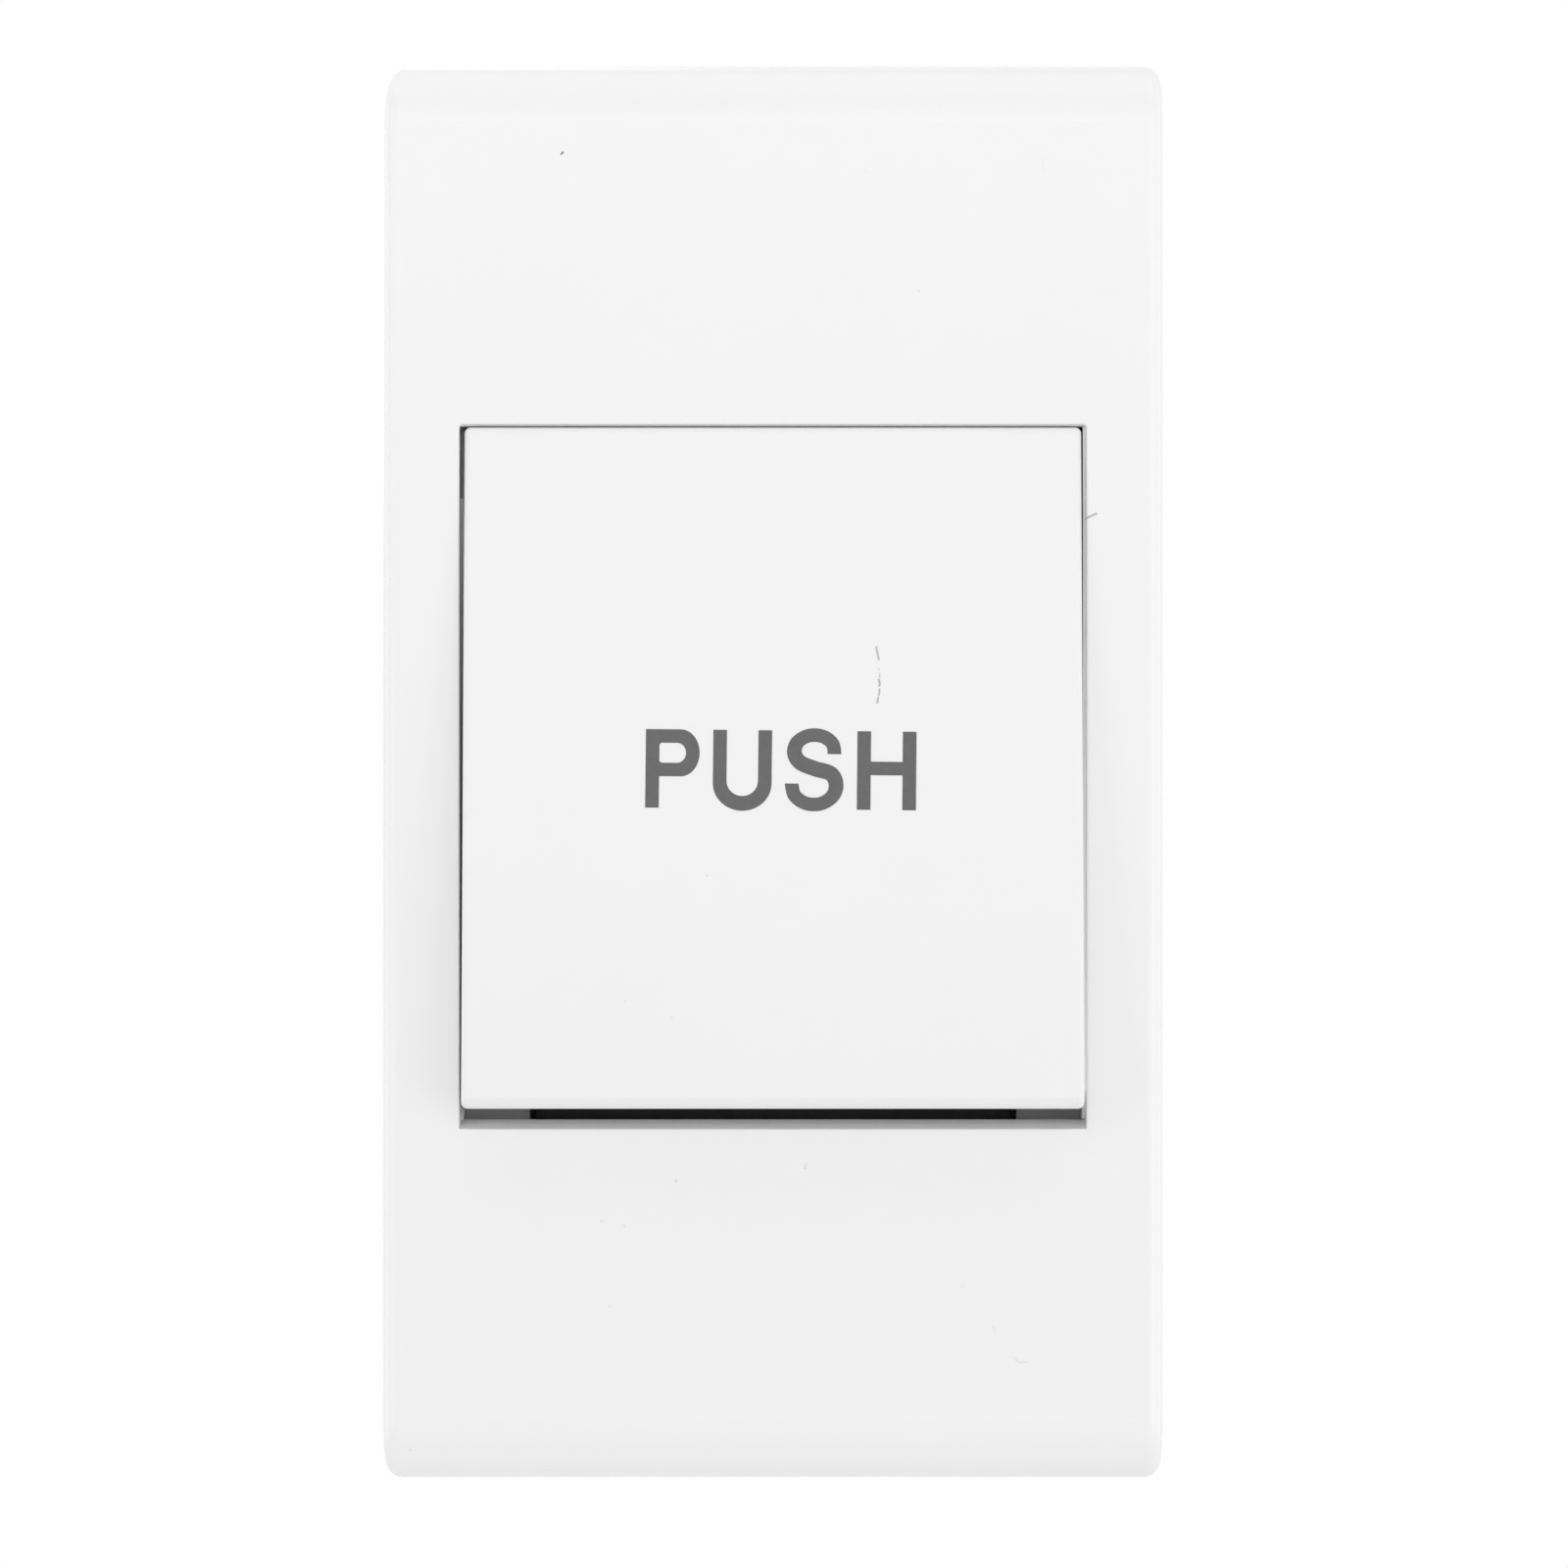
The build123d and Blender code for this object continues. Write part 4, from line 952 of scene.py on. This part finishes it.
    def letter_h(self) -> list[list[Point]]:
        """Draw the H.

        Returns:
            Its one outline.
        """
        top, wide, stem = self.cap_height, self.h_width, self.stroke
        low, high = self.h_bar_height - self.bar / 2, self.h_bar_height + self.bar / 2
        return [[
            (0.0, 0.0), (stem, 0.0), (stem, low), (wide - stem, low), (wide - stem, 0.0), (wide, 0.0),
            (wide, top), (wide - stem, top), (wide - stem, high), (stem, high), (stem, top), (0.0, top),
        ]]

    def build(self, ink: Material) -> None:
        """Make the four letters as one thin piece on the key's face.

        Args:
            ink: Their finish.
        """
        curve = bpy.data.curves.new("legend_outline", "CURVE")
        curve.dimensions = "2D"
        curve.fill_mode = "BOTH"
        curve.extrude = self.thickness / 2
        letters = (
            (0.0, self.letter_p()),
            (self.u_place, self.letter_u()),
            (self.s_place, self.letter_s()),
            (self.h_place, self.letter_h()),
        )
        for place, outlines in letters:
            for outline in outlines:
                spline = curve.splines.new("POLY")
                spline.points.add(len(outline) - 1)
                for point, (x, y) in zip(spline.points, outline):
                    point.co = (place + x, y, 0.0, 1.0)
                spline.use_cyclic_u = True
        mesh = plain_mesh(add_object("legend_outline", curve), "push_legend")
        weld(mesh)
        mesh.transform(self.place())
        mesh.materials.clear()
        mesh.materials.append(ink)
        make_piece("push_legend", mesh, Body.KEY)

    def place(self) -> Matrix:
        """Find where the legend goes.

        Returns:
            Matrix from the base line in millimetres to the key's sloping face.
        """
        outward, on_face = key_face()
        start = Vector((self.start_across * MM, 0.0, self.start_up * MM))
        start.y = on_face.y - (outward.z * (start.z - on_face.z)) / outward.y
        on_key = placing(start, Direction.RIGHT.vector, outward)
        rise = Matrix.Translation((0.0, 0.0, self.thickness / 2 - self.sink))
        return on_key @ Matrix.Rotation(self.tilt, 4, "Z") @ rise


@dataclass(frozen=True)
class Ledge:
    """A thin rib on a wall of the opening, which closes the gap beside the key.

    The wall is named by the direction to it. The rib runs between two points of its front inner
    edge. Each is given as a place along the wall, which is across on the upper wall and up on
    the others, and a distance in front of the rear.
    """

    wall: Direction
    start: Point
    end: Point
    width: float = 0.3
    thickness: float = 0.6

    def corners(self, reach: float) -> list[Vector]:
        """The rib's eight corners.

        Args:
            reach: Distance from the opening's middle to the rib's inner edge.

        Returns:
            The corners, in millimetres.
        """
        outward = self.wall.vector
        axis = Direction.RIGHT if self.wall is Direction.UP else Direction.UP
        found = []
        for along, depth in (self.start, self.end):
            for rear in (0.0, self.thickness):
                edge = outward * reach + axis.vector * along
                edge.y = rear - depth
                found += [edge, edge + outward * self.width]
        return found


@dataclass
class FrontCover:
    """Faceplate with the dust that lies on it, and the ledges round its opening."""

    finish: MouldedPlastic
    side_reach: float = 19.85
    top_reach: float = 22.11
    ledges: tuple[Ledge, ...] = (
        Ledge(Direction.LEFT, (22.1, 13.2), (17.55, 13.2)),
        Ledge(Direction.LEFT, (17.55, 14.55), (-20.4, 11.0)),
        Ledge(Direction.RIGHT, (22.1, 15.4), (-20.4, 15.85)),
        Ledge(Direction.LEFT, (-20.9, 12.2), (-22.3, 15.2)),
        Ledge(Direction.RIGHT, (-20.41, 15.85), (-22.3, 14.2)),
        Ledge(Direction.UP, (-20.0, 15.5), (20.0, 15.5), width=0.18),
    )

    def dress(self) -> None:
        """Give the faceplate its finish and make its ledges."""
        material = self.finish.material()
        dress("faceplate", material)
        self.build_ledges(material)

    def build_ledges(self, material: Material) -> None:
        """Make the ledges as one piece.

        Args:
            material: Their finish, which is the faceplate's.
        """
        bars = bmesh.new()
        for ledge in self.ledges:
            reach = self.top_reach if ledge.wall is Direction.UP else self.side_reach
            corners = [bars.verts.new(corner * MM) for corner in ledge.corners(reach)]
            bmesh.ops.convex_hull(bars, input=corners)
        mesh = bpy.data.meshes.new("opening_ledges")
        bars.to_mesh(mesh)
        bars.free()
        mesh.materials.append(material)
        make_piece("opening_ledges", mesh, Body.CASE)


@dataclass
class PressKey:
    """Hinged key and the word printed on it."""

    finish: MouldedPlastic
    ink: PrintedInk
    legend: Legend

    def dress(self) -> None:
        """Give the key its finish and print the legend."""
        dress("push_key", self.finish.material())
        self.legend.build(self.ink.material())


@dataclass
class RearTray:
    """Mounting base behind the faceplate."""

    finish: MouldedPlastic

    def dress(self) -> None:
        """Give the base its finish."""
        dress("mounting_base", self.finish.material())


@dataclass
class SwitchUnit:
    """Switch block with its cover, plunger, strips and contacts."""

    block: MouldedPlastic
    nylon: MouldedPlastic
    brass: Metal
    silver: Metal
    clamp: Metal
    spring: Metal

    def dress(self) -> None:
        """Give each moulded and stamped piece its finish."""
        sides = ("left", "right")
        groups = (
            (self.block, ["switch_block", "block_cover"]),
            (self.nylon, ["plunger"]),
            (self.brass, ["contact_bridge", *(f"terminal_{side}" for side in sides)]),
            (self.silver, [f"{kind}_contact_{side}" for kind in ("fixed", "moving") for side in sides]),
            (self.clamp, [f"wire_clamp_{side}" for side in sides]),
            (self.spring, ["retaining_clip"]),
        )
        for finish, nodes in groups:
            material = finish.material()
            for node in nodes:
                dress(node, material)


@dataclass
class SpringSet:
    """Return spring under the plunger and contact spring on it. Wires are given by radius."""

    finish: Metal
    return_wire: float = 0.25
    return_turns: float = 5.2
    contact_wire: float = 0.2
    contact_turns: float = 4.6
    closed_turns: float = 0.9

    def build(self) -> None:
        """Make both springs in place of their plain solids."""
        recipe = coil_recipe()
        material = self.finish.material()
        springs = (
            ("return_spring", Body.CASE, self.return_wire, self.return_turns),
            ("contact_spring", Body.PLUNGER, self.contact_wire, self.contact_turns),
        )
        for node, body, wire, turns in springs:
            low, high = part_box(node)
            size = (high - low) / MM
            values = {
                "Wire Radius": wire,
                "Coil Radius": size.x / 2 - wire,
                "Length": size.y,
                "Turns": turns,
                "Closed Turns": self.closed_turns,
                "Material": material,
            }
            rear = Vector(((low.x + high.x) / 2, high.y, (low.z + high.z) / 2))
            place = placing(rear, Direction.RIGHT.vector, Direction.FRONT.vector)
            mesh = recipe.bake(f"{node}_coils", values, place)
            piece = make_piece(f"{node}_coils", mesh, body)
            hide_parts(node)
            if body is Body.CASE:
                self.follow_plunger(piece)

    def follow_plunger(self, piece: Object) -> None:
        """Give the return spring a mesh of its own.

        Args:
            piece: The spring.
        """
        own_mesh(piece)


@dataclass(frozen=True)
class ScrewRow:
    """Two screws of one kind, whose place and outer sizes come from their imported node.

    The lengths of the driving slots are shares of the head's diameter.
    """

    node: str
    facing: Direction
    spread: Direction
    head_height: float
    head_edge: float
    shaft_radius: float
    pitch: float
    slot_share: float
    cross_share: float
    slot_width: float
    slot_depth: float
    seed: int
    sunk: bool = False

    def build(self, recipe: Recipe, material: Material) -> None:
        """Make the row in place of its plain solids.

        Args:
            recipe: Tree that makes a row of screws.
            material: Their finish.
        """
        low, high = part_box(self.node)
        size = (high - low) / MM
        across = self.spread.vector
        reach = size.dot(across)
        head_radius = (size.x + size.z - reach) / 2
        along = self.facing.vector
        centre = (low + high) / 2
        centre.y += along.y * (size.y / 2 - self.head_height) * MM
        values = {
            "Head Radius": head_radius,
            "Head Height": self.head_height,
            "Head Edge": self.head_edge,
            "Sunk": float(self.sunk),
            "Shaft Radius": self.shaft_radius,
            "Shaft Length": size.y - self.head_height,
            "Pitch": self.pitch,
            "Thread Depth": self.pitch * THREAD_DEPTH,
            "Slot Length": 2 * head_radius * self.slot_share,
            "Cross Length": 2 * head_radius * self.cross_share,
            "Slot Width": self.slot_width,
            "Slot Depth": self.slot_depth,
            "Spacing": reach - 2 * head_radius,
            "Seed": self.seed,
            "Material": material,
        }
        mesh = recipe.bake(f"{self.node}_threaded", values, placing(centre, across, along))
        piece = make_piece(f"{self.node}_threaded", mesh, Body.CASE)
        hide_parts(self.node)


@dataclass
class Fasteners:
    """All screws of the object."""

    finish: Metal
    rows: tuple[ScrewRow, ...]

    def build(self) -> None:
        """Make each row of screws."""
        recipe = screw_recipe()
        material = self.finish.material()
        for row in self.rows:
            row.build(recipe, material)


@dataclass(frozen=True)
class SoftBox:
    """A rectangular studio lamp, with its place and size in metres and its power in watts."""

    name: str
    place: Place
    width: float
    height: float
    power: float

    def build(self) -> None:
        """Hang the lamp so that it points at the object."""
        data = bpy.data.lights.new(self.name, "AREA")
        data.shape = "RECTANGLE"
        data.size = self.width
        data.size_y = self.height
        data.energy = self.power
        lamp = add_object(self.name, data)
        lamp.location = self.place
        lamp.rotation_euler = (-Vector(self.place)).to_track_quat("-Z", "Y").to_euler()
        lamp.visible_camera = False
        LOG.info("lit %s", self.name)


@dataclass
class Studio:
    """White surroundings, soft lamps and the camera.

    Its sizes are in metres, and the camera's lens and sensor are in millimetres.
    """

    floor_height: float = -0.6
    floor_size: float = 8.0
    floor_colour: Colour = (0.86, 0.86, 0.86)
    floor_roughness: float = 0.9
    floor_lift: float = 0.3
    fade_start: float = 0.5
    fade_end: float = 1.6
    ambient: float = 0.6
    camera_place: Place = (0.00071, -0.346, -0.000785)
    lens: float = 118.5
    sensor_width: float = 36.0
    clip_start: float = 0.01
    lamps: tuple[SoftBox, ...] = (
        SoftBox("main_softbox", (0.72, -0.6, -0.1), width=0.7, height=0.8, power=1.95),
        SoftBox("fill_softbox", (-0.8, -0.6, 0.1), width=0.5, height=0.9, power=1.4),
        SoftBox("front_panel", (0.0, -0.9, 0.28), width=1.1, height=0.4, power=1.7),
        SoftBox("top_softbox", (0.0, -0.12, 0.92), width=1.4, height=1.0, power=2.2),
        SoftBox("left_rim_light", (-0.9, 0.12, 0.0), width=0.3, height=0.9, power=1.2),
        SoftBox("right_rim_light", (0.9, 0.12, 0.0), width=0.3, height=0.9, power=1.0),
        SoftBox("rear_softbox", (-0.5, 0.9, 0.5), width=0.9, height=0.9, power=2.6),
    )

    def build(self) -> None:
        """Set up the surroundings, the lamps and the camera."""
        self.surround()
        self.lay_floor()
        for lamp in self.lamps:
            lamp.build()
        self.aim_camera()
        bpy.context.scene.view_settings.view_transform = "Standard"

    def seen(self, graph: Graph) -> Value:
        """Where the camera sees the surroundings, straight or through gloss or glass.

        Args:
            graph: Graph that the nodes go in.

        Returns:
            1 on the rays that show them to the camera, and 0 on the others.
        """
        path = graph.node("ShaderNodeLightPath")
        kinds = ("Is Camera Ray", "Is Glossy Ray", "Is Transmission Ray")
        straight, gloss, glass = (Value(graph, path.outputs[kind]) for kind in kinds)
        return straight.high(gloss).high(glass)

    def surround(self) -> None:
        """White world for the camera, which lights the object at a lower level."""
        world = bpy.data.worlds.new("white_surround")
        bpy.context.scene.world = world
        world.use_nodes = True
        graph = Graph(world.node_tree)
        level = self.seen(graph) * (1.0 - self.ambient) + self.ambient
        sky = graph.node("ShaderNodeBackground", None, {"Color": (1, 1, 1, 1), "Strength": level})
        graph.node("ShaderNodeOutputWorld", None, {"Surface": sky})

    def floor_material(self) -> Material:
        """Pale finish that keeps the object's shadow and fades into the white surround.

        Returns:
            The finished material.
        """
        surface = Surface("pale_floor")
        surface.feed(
            Base_Color=rgba(self.floor_colour), Roughness=self.floor_roughness, Specular_IOR_Level=0.0
        )
        seen = self.seen(surface)
        glow = surface.node("ShaderNodeEmission", None, {"Strength": seen * self.floor_lift})
        lifted = surface.node("ShaderNodeAddShader", None, {0: surface.shader, 1: glow})
        level = surface.vector("MULTIPLY", {0: surface.place, 1: (1.0, 1.0, 0.0)})
        radius = surface.vector("LENGTH", {0: level}, "Value")
        share = seen * radius.ramp(self.fade_start, self.fade_end)
        white = surface.node("ShaderNodeEmission", None, {"Strength": 1.0})
        faded = surface.node("ShaderNodeMixShader", None, {0: share, 1: lifted, 2: white})
        surface.plug(surface.output.inputs["Surface"], faded)
        return surface.material

    def lay_floor(self) -> None:
        """Level square floor under the object."""
        half = self.floor_size / 2
        sides = ((-half, -half), (half, -half), (half, half), (-half, half))
        mesh = bpy.data.meshes.new("floor")
        mesh.from_pydata([(x, y, self.floor_height) for x, y in sides], [], [(0, 1, 2, 3)])
        mesh.materials.append(self.floor_material())
        floor = add_object("floor", mesh)

    def aim_camera(self) -> None:
        """Camera straight in front of the plate, at the photograph's distance."""
        data = bpy.data.cameras.new("front_camera")
        data.lens = self.lens
        data.sensor_width = self.sensor_width
        data.clip_start = self.clip_start
        camera = add_object("front_camera", data)
        camera.location = self.camera_place
        camera.rotation_euler = (TURN / 4, 0.0, 0.0)
        bpy.context.scene.camera = camera


PLATE_MARKS = (
    Mark(((-13.53, 39.49), (-13.43, 39.61)), 0.1, 0.95),
    Mark(((20.06, 16.21), (20.68, 16.5)), 0.1, 0.6),
    Mark(((17.3, 39.09), (17.3, 38.5)), 0.09, 0.1),
    Mark(((9.31, 30.73), (9.33, 30.7)), 0.12, 0.2),
    Mark(((5.94, 38.4), (5.95, 38.37)), 0.1, 0.12),
    Mark(((2.03, -25.22), (2.06, -25.37)), 0.09, 0.3),
    Mark(((2.13, -25.04), (2.17, -25.16)), 0.09, 0.22),
    Mark(((-6.18, -26.13), (-6.19, -26.16)), 0.12, 0.3),
    Mark(((-10.95, -28.73), (-10.93, -28.76)), 0.12, 0.16),
    Mark(((-9.5, -29.05), (-9.48, -29.07)), 0.12, 0.2),
    Mark(((-10.44, -34.2), (-10.4, -34.18)), 0.1, 0.14),
    Mark(((14.1, -35.46), (14.18, -35.78)), 0.09, 0.2),
    Mark(((15.4, -37.45), (15.74, -37.77), (16.24, -37.74)), 0.085, 0.2),
    Mark(((12.12, -32.87), (12.15, -32.9)), 0.1, 0.12),
    Mark(((-23.23, -43.4), (-23.2, -43.42)), 0.12, 0.25),
)
KEY_MARKS = (
    Mark(((6.58, 7.95), (6.68, 7.49), (6.74, 7.15)), 0.095, 0.6),
    Mark(((6.75, 6.53), (6.75, 6.5)), 0.08, 0.35),
    Mark(((6.8, 6.26), (6.8, 5.98)), 0.09, 0.35),
    Mark(((6.74, 5.86), (6.81, 5.63), (6.79, 5.47)), 0.1, 0.68),
    Mark(((6.79, 5.25), (6.76, 4.87)), 0.09, 0.58),
    Mark(((6.7, 4.72), (6.65, 4.39)), 0.095, 0.58),
    Mark(((-4.2, -6.58), (-4.18, -6.6)), 0.1, 0.15),
    Mark(((-9.35, -14.5), (-9.33, -14.52)), 0.1, 0.15),
    Mark(((-6.42, -15.55), (-6.4, -15.57)), 0.1, 0.15),
)

PLATE_WHITE = MouldedPlastic(
    "white_plate_plastic", (0.87, 0.87, 0.868), roughness=0.24, skin_size=0.9, skin_depth=0.0022,
    marks=PLATE_MARKS, front=16.0,
)
KEY_WHITE = MouldedPlastic(
    "white_key_plastic", (0.84, 0.84, 0.838), roughness=0.22, skin_size=0.8, skin_depth=0.002,
    marks=KEY_MARKS, front=17.93, front_slope=-0.08756,
)
BASE_WHITE = MouldedPlastic(
    "white_base_plastic", (0.82, 0.82, 0.81), roughness=0.42, skin_size=0.25, skin_depth=0.008
)
BLOCK_BLACK = MouldedPlastic(
    "black_block_plastic", (0.05, 0.05, 0.051), roughness=0.38, skin_size=0.2, skin_depth=0.008
)
PLUNGER_NYLON = MouldedPlastic(
    "natural_nylon", (0.76, 0.73, 0.64), roughness=0.4, skin_size=0.3, skin_depth=0.006
)
LEGEND_INK = PrintedInk("grey_legend_ink", colour=(0.099, 0.099, 0.1), pinhole=(0.4, 0.4, 0.4))
STRIP_BRASS = Metal(
    "stamped_brass", (0.78, 0.57, 0.25), tarnish=(0.42, 0.27, 0.11), roughness=0.3,
    streak_size=0.25, streak_stretch=(0.15, 1.0, 1.0),
)
CONTACT_SILVER = Metal(
    "silver_contact_alloy", (0.84, 0.82, 0.78), tarnish=(0.5, 0.47, 0.42), roughness=0.28,
    streak_size=0.2,
)
CLAMP_STEEL = Metal(
    "zinc_plated_steel", (0.66, 0.65, 0.6), tarnish=(0.45, 0.43, 0.37), roughness=0.34,
    streak_size=0.3, streak_stretch=(1.0, 1.0, 0.2),
)
SPRING_STEEL = Metal(
    "drawn_spring_steel", (0.55, 0.55, 0.56), tarnish=(0.3, 0.29, 0.28), roughness=0.26,
    streak_size=0.12,
)
SCREW_STEEL = Metal(
    "nickel_plated_steel", (0.71, 0.69, 0.65), tarnish=(0.48, 0.45, 0.4), roughness=0.27,
    streak_size=0.18,
)

SCREW_ROWS = (
    ScrewRow(
        "terminal_screws", Direction.REAR, Direction.RIGHT, head_height=1.6, head_edge=0.45,
        shaft_radius=1.5, pitch=0.5, slot_share=1.1, cross_share=0.62, slot_width=0.75,
        slot_depth=0.85, seed=3,
    ),
    ScrewRow(
        "block_screws", Direction.FRONT, Direction.RIGHT, head_height=1.4, head_edge=0.5,
        shaft_radius=1.1, pitch=0.75, slot_share=0.6, cross_share=0.6, slot_width=0.55,
        slot_depth=0.8, seed=5,
    ),
    ScrewRow(
        "cover_screws", Direction.FRONT, Direction.UP, head_height=0.8, head_edge=0.08,
        shaft_radius=0.9, pitch=0.6, slot_share=0.6, cross_share=0.6, slot_width=0.45,
        slot_depth=0.45, seed=8, sunk=True,
    ),
)


def main() -> None:
    """Build the studio and dress each part of the button in turn."""
    logging.basicConfig(level=logging.INFO, format="%(name)s: %(message)s")
    Studio().build()
    FrontCover(PLATE_WHITE).dress()
    PressKey(KEY_WHITE, LEGEND_INK, Legend()).dress()
    RearTray(BASE_WHITE).dress()
    SwitchUnit(
        block=BLOCK_BLACK, nylon=PLUNGER_NYLON, brass=STRIP_BRASS, silver=CONTACT_SILVER,
        clamp=CLAMP_STEEL, spring=SPRING_STEEL,
    ).dress()
    SpringSet(SPRING_STEEL).build()
    Fasteners(SCREW_STEEL, SCREW_ROWS).build()


if __name__ == "__main__":
    main()
